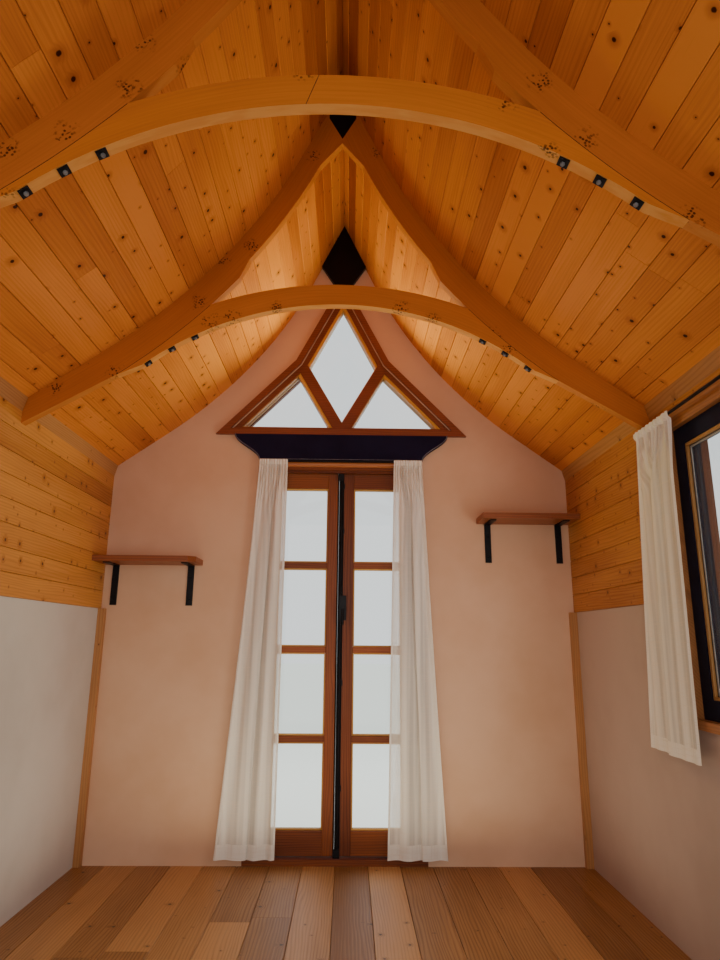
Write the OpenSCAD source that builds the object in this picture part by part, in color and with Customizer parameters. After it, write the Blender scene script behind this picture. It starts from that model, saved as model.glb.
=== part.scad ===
// Sleeping-end bay of a tiny house: gable with a French door and a star window,
// a bell-shaped boarded vault and three arched trusses. +Y points at the gable,
// +Z is up, and the origin lies under the middle of the bay.

/* [Room] */
// Clear width between the two side linings
room_w = 2200; // [2060:10:2300]
// Distance from one roof truss to the next
bay_l = 930; // [880:10:1000]
// Height of the ceiling edge above the floor
eave_h = 1748; // [1720:4:1800]
// Height at which the boards of a side wall give way to the plain panel
dado_h = 1073; // [900:1:1200]

/* [Vault] */
// Slope of the ceiling at the wall, degrees
low_a = 36; // [34:0.5:38]
// Slope of the ceiling at the ridge, degrees
top_a = 64.5; // [63:0.5:66]
// Width of the straight slope beside each wall
low_run = 252; // [220:2:280]
// Width of the straight slope beside the ridge
steep_run = 156; // [140:2:180]
// Number of boards laid round the curve on each side
curve_boards = 14; // [10:1:18]

/* [Floor, walls and roof] */
// Depth of the floor frame
floor_frame_t = 118; // [90:1:160]
// Thickness of the floor deck
deck_t = 22; // [18:1:28]
// Thickness of a side wall behind its lining
wall_t = 110; // [90:1:120]
// Thickness of the gable wall
gable_t = 130; // [110:1:150]
// Thickness of the wall boards
board_t = 18; // [14:1:24]
// Thickness of the plain panel under the boards
panel_t = 12; // [9:1:14]
// Width of the wooden strip in each corner beside the gable
corner_w = 25; // [18:1:35]
// Height of the cove strip under the ceiling
fillet_h = 42; // [30:1:60]
// Reach of the cove strip from the wall
fillet_w = 14; // [8:1:20]
// Thickness of the ceiling boards
ceiling_t = 18; // [14:1:22]
// Thickness of the roof over the ceiling boards
roof_t = 72; // [60:1:90]
// Thickness of the roof covering
covering_t = 10; // [6:1:14]
// Reach of the roof past a side wall
eave_over = 40; // [20:1:60]
// Reach of the roof past the gable
gable_over = 60; // [30:1:90]
// Half width of the ridge cap
cap_w = 110; // [80:1:130]
// Thickness of the ridge cap
cap_t = 6; // [4:1:10]

/* [Trusses] */
// Thickness of the rafters and arches
truss_t = 32; // [28:1:44]
// Depth of a rafter at the wall
foot_d = 68; // [60:1:80]
// Depth of a rafter along its lower curve
knee_d = 102; // [90:1:110]
// Depth of a rafter above its scarf joint
mid_d = 80; // [72:1:90]
// Depth of a rafter at the ridge
peak_d = 112; // [100:1:124]
// Slope of the ceiling where the scarf joint starts, degrees
scarf_a = 50.5; // [48:0.5:54]
// Rise of the arch's underside from its tails to its crown
arch_rise = 287; // [280:1:310]
// Depth of the arch at its crown
crown_d = 80; // [74:1:90]
// Radius of the arch's underside
arch_low_r = 1115; // [1090:5:1140]
// Radius of the arch's top, less the radius of its underside
arch_swell = 180; // [160:10:240]
// Width of the straight tail at each end of the arch
tail_w = 86; // [76:1:100]
// Distance from the tail to the first arch bolt
bolt_in = 18; // [16:1:24]
// Distance from one arch bolt to the next
bolt_pitch = 80; // [70:1:86]
// Width of a square bolt washer
washer_w = 26; // [22:1:30]
// Thickness of a square bolt washer
washer_t = 4; // [3:1:6]
// Diameter of a bolt head
bolt_head_d = 11; // [9:1:14]
// Height of a bolt head
bolt_head_h = 6; // [5:1:9]
// Half width of the black block at a truss's peak
block_w = 53; // [44:1:58]
// Height over which the rafters butt below the block
butt_h = 20; // [12:1:30]
// Height of the side of a truss block
block_side_h = 34; // [24:1:40]

/* [Gable peak and star window] */
// Half width of the black block at the gable's peak
gable_block_w = 115; // [100:1:120]
// Height of the gable block below the ridge
gable_block_h = 420; // [400:1:430]
// Thickness of the gable block
gable_block_t = 25; // [18:1:32]
// Half width of the star window over its casing
star_w = 618; // [600:1:630]
// Half width of the star window at its kinks
star_kink_w = 234; // [224:1:244]
// Height of the kinks above the foot of the casing
star_kink_h = 396; // [385:1:405]
// Height of the star window over its casing
star_h = 852; // [840:1:860]
// Width of the casing along the slanted sides
star_casing_w = 30; // [24:1:36]
// Width of the casing along its foot
star_foot_w = 30; // [24:1:38]
// Thickness of the casing
star_casing_t = 20; // [14:1:26]
// Width of the frame inside the casing
star_frame_w = 28; // [24:1:40]
// Width of the frame's foot
star_sill_w = 12; // [10:1:20]
// Width of the two slanted bars
star_bar_w = 52; // [44:1:60]
// Depth of the star window's frame
star_frame_t = 70; // [60:1:90]
// Least clearance between the star window's foot and the ceiling at each side
star_side_gap = 150; // [120:5:200]
// Least height between the star window's outline and the ridge
star_top_gap = 300; // [280:5:310]

/* [Header board] */
// Height by which the header board covers the head of the door frame
header_lap = 12; // [6:1:16]
// Height of the header board
header_h = 130; // [120:1:134]
// Reach of each ogee end past the door frame
ogee_w = 125; // [100:1:140]
// Thickness of the header board
header_t = 22; // [16:1:28]

/* [French door] */
// Width over the door frame
door_w = 800; // [780:2:820]
// Height of the door frame's top above the floor
door_h = 1805; // [1802:1:1812]
// Width of a door jamb
jamb_w = 45; // [40:1:50]
// Height of the door frame's head
head_h = 58; // [50:1:64]
// Height of the threshold above the floor
threshold_h = 25; // [15:1:32]
// Distance from the lining to the leaves
leaf_set = 30; // [26:1:36]
// Thickness of a leaf
leaf_t = 45; // [40:1:50]
// Running clearance round the leaves
leaf_gap = 5; // [5:0.5:7]
// Gap between the leaves on their outer face
meet_gap = 7; // [7:0.5:9]
// Distance by which the leaves' meeting line lies left of the middle
meet_x = 7; // [0:1:10]
// Slant of the meeting edges across the leaf's thickness
meet_bevel = 3; // [3:0.5:5]
// Width of the left leaf's meeting stile
left_stile_w = 46; // [42:1:60]
// Width of the right leaf's meeting stile
right_stile_w = 66; // [60:1:72]
// Width of the stile beside each jamb
side_stile_w = 56; // [48:1:64]
// Height of a leaf's top rail
top_rail_h = 80; // [70:1:90]
// Height of a leaf's bottom rail
bottom_rail_h = 100; // [85:1:120]
// Height of the bars between the panes
pane_bar_h = 28; // [22:1:32]
// Rows of panes in a leaf
pane_rows = 4; // [3:1:5]
// Thickness of a pane
pane_t = 8; // [4:1:12]
// Width of the stop moulding round the leaves
stop_w = 12; // [10:1:14]
// Thickness of the stop moulding
stop_t = 20; // [14:1:20]
// Diameter of the bolt rod
rod_d = 13; // [10:1:13]
// Width of the bolt box
lock_w = 32; // [26:1:34]
// Height of the bolt box
lock_h = 113; // [95:1:125]
// Depth of the bolt box
lock_t = 18; // [17:1:20]
// Height of the middle of the bolt box above the floor
lock_z = 1087; // [1060:1:1100]
// Diameter of a hinge knuckle
knuckle_d = 14; // [12:1:15]
// Height of one half of a hinge
knuckle_h = 42; // [34:1:50]
// Diameter of a hinge pin
pin_d = 8; // [6:0.5:8.5]

/* [Side window] */
// Distance from the trusses to the side window between them
side_in = 103; // [70:1:120]
// Height of the ceiling edge above the side window's opening
side_drop = 58; // [40:2:80]
// Height of the side window's opening
side_h = 1000; // [950:5:1000]
// Height of the wooden head over the side window
side_head_h = 66; // [50:1:80]
// Thickness of the reveal boards at the sides
side_reveal_t = 15; // [10:1:20]
// Thickness of the window sill
sill_t = 27; // [20:1:32]
// Reach of the sill past the lining
sill_over = 12; // [8:1:16]
// Length by which the sill passes the opening at each end
sill_ear = 25; // [15:1:35]
// Distance from the lining to the window frame
side_set = 20; // [15:1:30]
// Depth of the window frame
side_frame_t = 68; // [60:1:76]
// Width of the window frame that shows inside the reveal
side_frame_w = 59; // [50:1:66]
// Distance from the frame's inner face to the glass
side_glass_set = 15; // [10:1:20]
// Thickness of the window glass
side_glass_t = 24; // [16:1:28]

/* [Curtains] */
// Diameter of the curtain rods
curtain_rod_d = 10; // [8:1:12]
// Distance from the gable to the middle of the door's rod
door_rod_out = 26; // [22:1:32]
// Distance by which a rod ends inside its curtains' outer edges
rod_in = 8; // [4:1:16]
// Width of the posts that hold a rod
rod_post_w = 12; // [8:1:16]
// Thickness of a curtain
curtain_t = 24; // [20:1:26]
// Clearance between the side curtains, the sill below and the rafters above
curtain_gap = 2; // [1:0.5:4]
// Distance from the door frame's outer edge to a door curtain's top
curtain_inset = 4; // [0:1:12]
// Width of a door curtain at its top
curtain_w = 138; // [120:1:150]
// Width by which the left curtain's outer edge spreads towards its foot
left_spread = 120; // [90:5:140]
// Width by which the right curtain's outer edge spreads towards its foot
right_spread = 85; // [50:5:110]
// Width by which the right curtain's inner edge hangs inwards at its foot
right_hang = 35; // [0:5:50]
// Height of a door curtain's foot above the floor
curtain_z = 30; // [20:1:60]
// Length of the window that a side curtain covers at its top
side_curtain_lap = 92; // [60:1:120]
// Length of a side curtain along its top
side_curtain_l = 260; // [240:5:280]
// Length of a side curtain along its foot
side_curtain_foot_l = 368; // [330:1:400]
// Length by which a side curtain hangs below the window
side_curtain_over = 95; // [60:5:120]

/* [Shelves] */
// Length of the left shelf
left_shelf_l = 455; // [440:1:480]
// Height of the left shelf's underside above the floor
left_shelf_z = 1276; // [1200:1:1300]
// Length of the right shelf
right_shelf_l = 444; // [430:1:470]
// Height of the ceiling edge above the right shelf's underside
right_shelf_drop = 260; // [240:1:320]
// Depth of a shelf
shelf_d = 175; // [150:1:190]
// Thickness of a shelf
shelf_t = 25; // [20:1:30]
// Distance from a shelf's ends to the middle of its brackets
bracket_in = 52; // [40:1:70]
// Width of a shelf bracket
bracket_w = 30; // [25:1:36]
// Thickness of a bracket's flat steel
bracket_t = 5; // [4:1:8]
// Height of a bracket's leg
bracket_h = 186; // [160:1:200]
// Reach of a bracket's arm
bracket_l = 140; // [120:1:148]

/* [Hidden] */

pine = "#c27a35";
pale_pine = "#d9a45c";
beam_ochre = "#b9742a";
cream = "#e6dccb";
dark_wood = "#7a4423";
black_steel = "#1b1b1d";
navy = "#1e2433";
clear_glass = "#b9cdd2";
linen = "#ece6da";
roof_grey = "#3a3d40";

bays = 3;
eps = 1;
seat_gap = 0.3;
fit_gap = 0.05;
half_w = room_w / 2;
core_x = half_w + board_t;
outer_x = core_x + wall_t;
eave_x = outer_x + eave_over;
floor_z = floor_frame_t + deck_t;
total_l = bays * bay_l + gable_t + gable_over;
open_y = -total_l / 2;
gable_y = open_y + bays * bay_l;
gable_out_y = gable_y + gable_t;
roof_end_y = total_l / 2;
roof_in = ceiling_t;
roof_out = roof_in + roof_t;
covering_out = roof_out + covering_t;

// The vault's half outline is a low slope and a steep slope joined by an arc. Each
// layer of the roof is the same outline moved outwards, about the same centre.
turn_a = top_a - low_a;
vault_r = (half_w - low_run - steep_run) / (sin(top_a) - sin(low_a));
vault_c = [half_w - low_run, eave_h + low_run * tan(low_a)]
    + vault_r * [sin(low_a), cos(low_a)];

function on_arc(a, out) = vault_c - (vault_r - out) * [sin(a), cos(a)];
function low_line(x, out) = on_arc(low_a, out).y + (on_arc(low_a, out).x - x) * tan(low_a);
function steep_line(x, out) = on_arc(top_a, out).y + (on_arc(top_a, out).x - x) * tan(top_a);
function curve_a(i) = low_a + turn_a * i / curve_boards;
ridge_h = steep_line(0, 0);
// Half width of the room at a height above the eaves
function vault_x(z) = z < on_arc(low_a, 0).y ? half_w - (z - eave_h) / tan(low_a)
    : vault_c.x - sqrt(pow(vault_r, 2) - pow(vault_c.y - z, 2));
function slope_line(x_edge, out) = concat([[x_edge, low_line(x_edge, out)]],
    [for (i = [0 : curve_boards]) on_arc(curve_a(i), out)], [[0, steep_line(0, out)]]);
function reversed(list) = [for (i = [len(list) - 1 : -1 : 0]) list[i]];
// The other half of an outline, without its points on the middle line
function mirrored(list) = [for (p = reversed(list)) if (p.x != 0) [-p.x, p.y]];

// The underside of a rafter: tapered to its foot, deep along the low curve, slimmer
// past the scarf joint, and deep again where the pair meets at the ridge
function rafter_depth(a) = a <= scarf_a ? knee_d : mid_d;
rafter_low = concat([[half_w, low_line(half_w, 0) - foot_d / cos(low_a)]],
    [for (i = [0 : curve_boards]) on_arc(curve_a(i), -rafter_depth(curve_a(i)))],
    [[0, steep_line(0, 0) - peak_d / cos(top_a)]]);

function rafter_under(x) = rafter_low[0].y + (rafter_low[1].y - rafter_low[0].y)
    * (half_w - x) / (half_w - rafter_low[1].x);

// The arch's tails end where the rafters' low curves begin
tail_tip = rafter_low[1];
crown_h = tail_tip.y + arch_rise;
arch_flat_x = tail_tip.x - tail_w;
arch_low_c = crown_h - arch_low_r;
arch_top_r = arch_low_r + arch_swell;
arch_top_c = crown_h + crown_d - arch_top_r;
function arch_low_z(x) = arch_low_c + sqrt(pow(arch_low_r, 2) - pow(x, 2));

// Moves each edge of an outline inwards by its own width. The outline runs
// anticlockwise, and width i belongs to the edge that leaves corner i.
function unit(v) = v / norm(v);
function inset_corner(p, q, r, d, e) =
    let (u = unit(q - p), v = unit(r - q), m = q + d * [-u.y, u.x], n = q + e * [-v.y, v.x])
    m + u * cross(n - m, v) / cross(u, v);
function inset(list, widths) = let (c = len(list)) [for (i = [0 : c - 1])
    inset_corner(list[(i + c - 1) % c], list[i], list[(i + 1) % c],
        widths[(i + c - 1) % c], widths[i])];

header_z = door_h - header_lap;
star_z = header_z + header_h;
// The star keeps its own size as long as the vault leaves room for it
star_fit = min(1, (vault_x(star_z) - star_side_gap) / star_w,
    (ridge_h - star_top_gap - star_z) / star_h);
star_outline = [for (p = [[-star_w, 0], [star_w, 0], [star_kink_w, star_kink_h], [0, star_h],
    [-star_kink_w, star_kink_h]]) [0, star_z] + star_fit * p];
star_hole = inset(star_outline,
    [star_foot_w, star_casing_w, star_casing_w, star_casing_w, star_casing_w]);
star_light = inset(star_hole,
    [star_sill_w, star_frame_w, star_frame_w, star_frame_w, star_frame_w]);

frame_d = leaf_set + leaf_t;
clear_x = door_w / 2 - jamb_w;
clear_h = door_h - head_h;
leaf_x = clear_x - leaf_gap;
leaf_z = threshold_h + leaf_gap;
leaf_h = clear_h - leaf_gap - leaf_z;
leaf_in_y = gable_y + leaf_set;
leaf_out_y = leaf_in_y + leaf_t;
pane_h = (leaf_h - top_rail_h - bottom_rail_h - (pane_rows - 1) * pane_bar_h) / pane_rows;
pane_pitch = pane_h + pane_bar_h;
left_meet = meet_x + meet_gap / 2;
right_meet = meet_gap / 2 - meet_x;
right_edge = right_meet + meet_bevel;
hinge_x = clear_x - leaf_gap / 2;
hinge_y = leaf_out_y + knuckle_d / 2 + 1;
flap_w = 30;
flap_t = 3;
hinge_heights = [leaf_z + leaf_h * 0.1, leaf_z + leaf_h * 0.5, leaf_z + leaf_h * 0.88];
rod_x = right_edge + 1 + rod_d / 2;
rod_y = leaf_in_y - rod_d / 2 - 1;

truss_fronts = [for (i = [1 : bays]) gable_y - i * bay_l];
side_y1 = truss_fronts[1] + truss_t + side_in;
side_y2 = truss_fronts[0] - side_in;
side_l = side_y2 - side_y1;
side_mid_y = (side_y1 + side_y2) / 2;
side_top = eave_h - side_drop;
side_z = side_top - side_h;

door_rod_z = header_z - curtain_rod_d / 2 - curtain_gap;
curtain_out = door_w / 2 - curtain_inset;
curtain_in = curtain_out - curtain_w;
door_rod_l = curtain_out - rod_in;
side_rod_x = half_w - sill_over - curtain_gap - curtain_t / 2;
side_curtain_top = rafter_under(side_rod_x + curtain_t / 2) - curtain_gap;
side_rod_z = side_curtain_top - curtain_gap - curtain_rod_d / 2;
side_curtain_end = side_l / 2 - side_curtain_lap;
side_curtain_z = side_z - side_curtain_over;
side_rod_half = side_curtain_end + side_curtain_l - rod_in;
side_post_places = [side_mid_y - side_rod_half, side_mid_y + side_rod_half - rod_post_w];

left_shelf_x = -half_w;
right_shelf_x = half_w - right_shelf_l;
right_shelf_z = eave_h - right_shelf_drop;

module raised() {
    translate([0, 0, floor_z]) children();
}

// Extrudes an X-Z outline along the house from y_from to y_to
module along(y_from, y_to) {
    translate([0, y_to, floor_z]) rotate([90, 0, 0]) linear_extrude(y_to - y_from) children();
}

// Extrudes a Y-Z outline across the house from x_from to x_to
module across(x_from, x_to) {
    translate([x_from, 0, floor_z]) rotate([90, 0, 90]) linear_extrude(x_to - x_from) children();
}

module flipped() {
    mirror([1, 0, 0]) children();
}

module both_sides() {
    children();
    flipped() children();
}

module slab(x1, x2, y1, y2, z1, z2) {
    translate([x1, y1, floor_z + z1]) cube([x2 - x1, y2 - y1, z2 - z1]);
}

module floor_frame() {
    color(pine) slab(-outer_x, outer_x, open_y, gable_out_y, -floor_z, -deck_t);
}

module floor_deck() {
    color(pale_pine) slab(-core_x, core_x, open_y, gable_y, -deck_t, 0);
}

module wall_section() {
    polygon([[core_x, -deck_t], [outer_x, -deck_t], [outer_x, low_line(outer_x, roof_in)],
        [core_x, low_line(core_x, roof_in)]]);
}

module side_hole(x1, x2) {
    slab(x1, x2, side_y1, side_y2, side_z, side_top);
}

module left_wall() {
    color(pine) flipped() along(open_y, gable_y) wall_section();
}

module right_wall() {
    color(pine) difference() {
        along(open_y, gable_y) wall_section();
        side_hole(core_x - eps, outer_x + eps);
    }
}

module gable_outline() {
    roof_edge = slope_line(outer_x, roof_in);
    polygon(concat([[outer_x, -deck_t]], roof_edge, mirrored(roof_edge), [[-outer_x, -deck_t]]));
}

module gable_side() {
    along(gable_y, gable_out_y) intersection() {
        gable_outline();
        translate([door_w / 2, -deck_t]) square([outer_x, deck_t + door_h]);
    }
}

module gable_wall_left() {
    color(cream) flipped() gable_side();
}

module gable_wall_right() {
    color(cream) gable_side();
}

module gable_wall_top() {
    color(cream) along(gable_y, gable_out_y) difference() {
        gable_outline();
        translate([-outer_x - eps, -deck_t - eps])
            square([2 * (outer_x + eps), deck_t + eps + door_h]);
        polygon(star_hole);
    }
}

module boards_section() {
    polygon([[half_w, dado_h], [core_x, dado_h], [core_x, low_line(core_x, 0)],
        [half_w, low_line(half_w, 0)]]);
}

module left_boards() {
    color(pale_pine) flipped() along(open_y, gable_y) boards_section();
}

module right_boards() {
    color(pine) difference() {
        along(open_y, gable_y) boards_section();
        side_hole(half_w - eps, core_x + eps);
    }
}

module left_panel() {
    color(cream) flipped() slab(core_x - panel_t, core_x, open_y, gable_y, 0, dado_h);
}

module right_panel() {
    color(cream) difference() {
        slab(core_x - panel_t, core_x, open_y, gable_y, 0, dado_h);
        side_hole(half_w - eps, core_x + eps);
    }
}

// Corner strips beside the gable, and cove strips between the trusses
module wall_trims() {
    ceiling_x = half_w - fillet_w;
    color(pale_pine) both_sides() {
        slab(half_w - corner_w, core_x - panel_t, gable_y - corner_w, gable_y, 0, dado_h);
        for (i = [0 : bays - 1])
            along(truss_fronts[i] + truss_t, truss_fronts[i] + bay_l)
                polygon([[half_w, low_line(half_w, 0) - fillet_h], [half_w, low_line(half_w, 0)],
                    [ceiling_x, low_line(ceiling_x, 0)]]);
    }
}

module roof_layer(x_edge, y_from, y_to, from_out, to_out) {
    along(y_from, y_to)
        polygon(concat(slope_line(x_edge, from_out), reversed(slope_line(x_edge, to_out))));
}

module left_ceiling() {
    color(pine) flipped() roof_layer(core_x, open_y, gable_y, fit_gap, roof_in);
}

module right_ceiling() {
    color(pine) roof_layer(core_x, open_y, gable_y, fit_gap, roof_in);
}

module left_roof() {
    color(dark_wood) flipped() roof_layer(eave_x, open_y, roof_end_y, roof_in, roof_out);
}

module right_roof() {
    color(dark_wood) roof_layer(eave_x, open_y, roof_end_y, roof_in, roof_out);
}

module left_covering() {
    color(roof_grey) flipped() roof_layer(eave_x, open_y, roof_end_y, roof_out, covering_out);
}

module right_covering() {
    color(roof_grey) roof_layer(eave_x, open_y, roof_end_y, roof_out, covering_out);
}

module ridge_cap() {
    cap_in = covering_out + fit_gap;
    cap_out = cap_in + cap_t;
    color(roof_grey) along(open_y, roof_end_y) polygon([[cap_w, steep_line(cap_w, cap_in)],
        [cap_w, steep_line(cap_w, cap_out)], [0, steep_line(0, cap_out)],
        [-cap_w, steep_line(cap_w, cap_out)], [-cap_w, steep_line(cap_w, cap_in)],
        [0, steep_line(0, cap_in)]]);
}

function truss_block() = [[0, ridge_h - peak_d / cos(top_a) + butt_h],
    [block_w, steep_line(block_w, 0) - block_side_h], [block_w, steep_line(block_w, 0)],
    [0, ridge_h], [-block_w, steep_line(block_w, 0)],
    [-block_w, steep_line(block_w, 0) - block_side_h]];

// The pair is cut round the block at the peak, and butts below it
module rafters(i) {
    block = truss_block();
    upper = concat([[half_w, low_line(half_w, 0)]],
        [for (k = [0 : curve_boards]) on_arc(curve_a(k), 0)], [block[2], block[1], block[0]]);
    color(beam_ochre) along(truss_fronts[i], truss_fronts[i] + truss_t)
        polygon(concat(upper, mirrored(upper), reversed(mirrored(rafter_low)),
            reversed(rafter_low)));
}

module arch(i) {
    under = concat([[arch_flat_x, arch_low_c], [arch_flat_x, arch_low_z(arch_flat_x)]],
        [for (k = [1 : curve_boards + 2]) rafter_low[k]]);
    color(beam_ochre) along(truss_fronts[i], truss_fronts[i] + truss_t) intersection() {
        difference() {
            translate([0, arch_top_c]) circle(r = arch_top_r, $fn = 180);
            translate([0, arch_low_c]) circle(r = arch_low_r, $fn = 180);
        }
        polygon(concat(under, mirrored(under)));
    }
}

module truss_1_rafters() { rafters(0); }
module truss_2_rafters() { rafters(1); }
module truss_3_rafters() { rafters(2); }
module truss_1_arch() { arch(0); }
module truss_2_arch() { arch(1); }
module truss_3_arch() { arch(2); }

function gable_block() = [[0, ridge_h - gable_block_h],
    [gable_block_w, steep_line(gable_block_w, 0)], [0, ridge_h],
    [-gable_block_w, steep_line(gable_block_w, 0)]];

module peak_blocks() {
    color(black_steel) {
        for (y = truss_fronts) along(y, y + truss_t) polygon(truss_block());
        along(gable_y - gable_block_t, gable_y) polygon(gable_block());
    }
}

module arch_bolts() {
    back_r = sqrt(pow(arch_low_r, 2) - pow(washer_w / 2, 2)) - 3 * fit_gap;
    color(black_steel) both_sides() for (y = truss_fronts, k = [0 : 2])
        translate([0, y + truss_t / 2, floor_z + arch_low_c])
            rotate([0, asin((arch_flat_x - bolt_in - k * bolt_pitch) / arch_low_r), 0]) {
                translate([-washer_w / 2, -washer_w / 2, back_r - washer_t])
                    cube([washer_w, washer_w, washer_t]);
                translate([0, 0, back_r - washer_t - bolt_head_h])
                    cylinder(h = bolt_head_h + eps, d = bolt_head_d, $fn = 6);
            }
}

module door_frame() {
    stop_y = leaf_in_y - leaf_gap - stop_t;
    stop_x = clear_x - stop_w;
    color(dark_wood) {
        difference() {
            slab(-door_w / 2, door_w / 2, gable_y, gable_y + frame_d, -deck_t, door_h);
            slab(-clear_x, clear_x, gable_y - eps, gable_y + frame_d + eps, threshold_h, clear_h);
        }
        slab(-door_w / 2, door_w / 2, gable_y, gable_out_y, -deck_t, threshold_h);
        difference() {
            slab(-clear_x - eps, clear_x + eps, stop_y, stop_y + stop_t, threshold_h - eps,
                clear_h + eps);
            slab(-stop_x, stop_x, stop_y - eps, stop_y + stop_t + eps, -eps, clear_h - stop_w);
        }
    }
    color(black_steel) both_sides() for (z = hinge_heights) raised() {
        translate([hinge_x, hinge_y, z - knuckle_h]) {
            cylinder(h = knuckle_h, d = knuckle_d, $fn = 32);
            cylinder(h = knuckle_h * 1.6, d = pin_d, $fn = 32);
        }
        translate([hinge_x, leaf_out_y, z - knuckle_h]) cube([flap_w, flap_t, knuckle_h]);
    }
}

// A leaf right of the middle: meet is its meeting edge on the outer face
module leaf(meet, stile_w) {
    color(dark_wood) difference() {
        raised() translate([0, 0, leaf_z]) linear_extrude(leaf_h) polygon([[meet, leaf_out_y],
            [meet + meet_bevel, leaf_in_y], [leaf_x, leaf_in_y], [leaf_x, leaf_out_y]]);
        panes(meet, stile_w, leaf_in_y - eps, leaf_t + 2 * eps);
    }
    color(black_steel) for (z = hinge_heights) raised() difference() {
        union() {
            translate([hinge_x, hinge_y, z + seat_gap])
                cylinder(h = knuckle_h, d = knuckle_d, $fn = 32);
            translate([hinge_x - flap_w, leaf_out_y, z + seat_gap])
                cube([flap_w, flap_t, knuckle_h]);
        }
        translate([hinge_x, hinge_y, z - eps])
            cylinder(h = knuckle_h * 0.7 + eps, d = pin_d + 2 * seat_gap, $fn = 32);
    }
}

module panes(meet, stile_w, y, t) {
    for (row = [0 : pane_rows - 1])
        raised() translate([meet + meet_bevel + stile_w, y,
                leaf_z + bottom_rail_h + row * pane_pitch])
            cube([leaf_x - side_stile_w - meet - meet_bevel - stile_w, t, pane_h]);
}

module left_leaf() {
    flipped() leaf(left_meet, left_stile_w);
}

module right_leaf() {
    leaf(right_meet, right_stile_w);
}

module left_leaf_glass() {
    color(clear_glass) flipped()
        panes(left_meet, left_stile_w, leaf_in_y + (leaf_t - pane_t) / 2, pane_t);
}

module right_leaf_glass() {
    color(clear_glass) panes(right_meet, right_stile_w, leaf_in_y + (leaf_t - pane_t) / 2, pane_t);
}

// Rod, box, guides and handle on the inner face of the right leaf
module door_bolt() {
    rod_end = 20;
    guide_h = 24;
    lock_x = right_edge + 2;
    color(black_steel) {
        translate([rod_x, rod_y, floor_z + leaf_z + rod_end])
            cylinder(h = leaf_h - 2 * rod_end - stop_w, d = rod_d, $fn = 32);
        slab(lock_x, lock_x + lock_w, leaf_in_y - lock_t, leaf_in_y, lock_z - lock_h / 2,
            lock_z + lock_h / 2);
        for (z = [0.16, 0.42, 0.83, 0.96] * leaf_h)
            slab(right_edge + 0.5, right_edge + rod_d + 8, rod_y, leaf_in_y, leaf_z + z - guide_h / 2,
                leaf_z + z + guide_h / 2);
        translate([lock_x + lock_w / 2, leaf_in_y - lock_t, floor_z + lock_z]) rotate([90, 0, 0]) {
            translate([0, 0, -eps]) cylinder(h = 26 + eps, d = 13, $fn = 32);
            translate([0, 0, 16]) rotate([90, 0, 0]) cylinder(h = 78, d1 = 13, d2 = 10, $fn = 32);
        }
    }
}

// The casing's two upper boards butt against the block at the gable's peak
module star_casing() {
    color(dark_wood) along(gable_y - star_casing_t, gable_y) difference() {
        polygon(star_outline);
        polygon(star_hole);
        polygon(gable_block());
    }
}

// The frame's light is parted by two bars that rise from the foot to the kinks
module star_bars() {
    kink = star_hole[2];
    foot = [0, star_z + star_foot_w / 2];
    bar = unit(kink - foot);
    edge = star_bar_w / 2 * [-bar.y, bar.x];
    rise = star_bar_w / 2 / bar.x;
    half = [foot - [0, rise], kink - edge, kink + edge, foot + [0, rise]];
    polygon(concat(half, mirrored(half)));
}

module star_frame() {
    color(dark_wood) along(gable_y, gable_y + star_frame_t) intersection() {
        polygon(star_hole);
        union() {
            difference() {
                polygon(star_hole);
                polygon(star_light);
            }
            star_bars();
        }
    }
}

module star_glass() {
    pane_y = gable_y + star_frame_t / 2;
    color(clear_glass) along(pane_y, pane_y + pane_t) difference() {
        polygon(star_light);
        star_bars();
    }
}

// Board with ogee ends
module header_board() {
    steps = 12;
    side = [for (i = [0 : steps]) [door_w / 2 + ogee_w * (1 - cos(180 * i / steps)) / 2,
        header_z + header_h * i / steps]];
    color(navy) along(gable_y - header_t, gable_y) polygon(concat(side, mirrored(side)));
}

module side_window_reveal() {
    set_x = half_w + side_set;
    color(dark_wood) {
        slab(half_w, set_x, side_y1, side_y2, side_top - side_head_h, side_top);
        for (y = [side_y1, side_y2 - side_reveal_t])
            slab(half_w, set_x, y, y + side_reveal_t, side_z, side_top - side_head_h + eps);
        slab(half_w, set_x, side_y1, side_y2, side_z, side_z + sill_t);
        slab(half_w - sill_over, half_w, side_y1 - sill_ear, side_y2 + sill_ear, side_z,
            side_z + sill_t);
    }
}

module side_window_frame() {
    set_x = half_w + side_set;
    color(navy) difference() {
        slab(set_x, set_x + side_frame_t, side_y1, side_y2, side_z, side_top);
        side_light(set_x - eps, set_x + side_frame_t + eps);
    }
}

module side_light(x1, x2) {
    side = side_reveal_t + side_frame_w;
    slab(x1, x2, side_y1 + side, side_y2 - side, side_z + sill_t + side_frame_w,
        side_top - side_head_h - side_frame_w);
}

module side_window_glass() {
    glass_x = half_w + side_set + side_glass_set;
    color(clear_glass) side_light(glass_x, glass_x + side_glass_t);
}

// A curtain's outline seen from the front, less the sleeve for its rod and a slot for a post
module door_curtain(hang, spread) {
    top = header_z - seat_gap;
    y = gable_y - door_rod_out;
    sleeve_r = curtain_rod_d / 2 + seat_gap;
    difference() {
        along(y - curtain_t / 2, y + curtain_t / 2) polygon([[curtain_in, top],
            [curtain_in - hang, curtain_z], [curtain_out + spread, curtain_z],
            [curtain_out, top]]);
        translate([0, y, floor_z + door_rod_z]) rotate([0, 90, 0])
            cylinder(h = outer_x, r = sleeve_r, $fn = 32);
        slab(door_rod_l - rod_post_w - seat_gap, door_rod_l + seat_gap, y, gable_y,
            door_rod_z - sleeve_r, door_rod_z + sleeve_r);
    }
}

module door_curtains() {
    color(linen) {
        mirror([1, 0, 0]) door_curtain(0, left_spread);
        door_curtain(right_hang, right_spread);
    }
}

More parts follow.
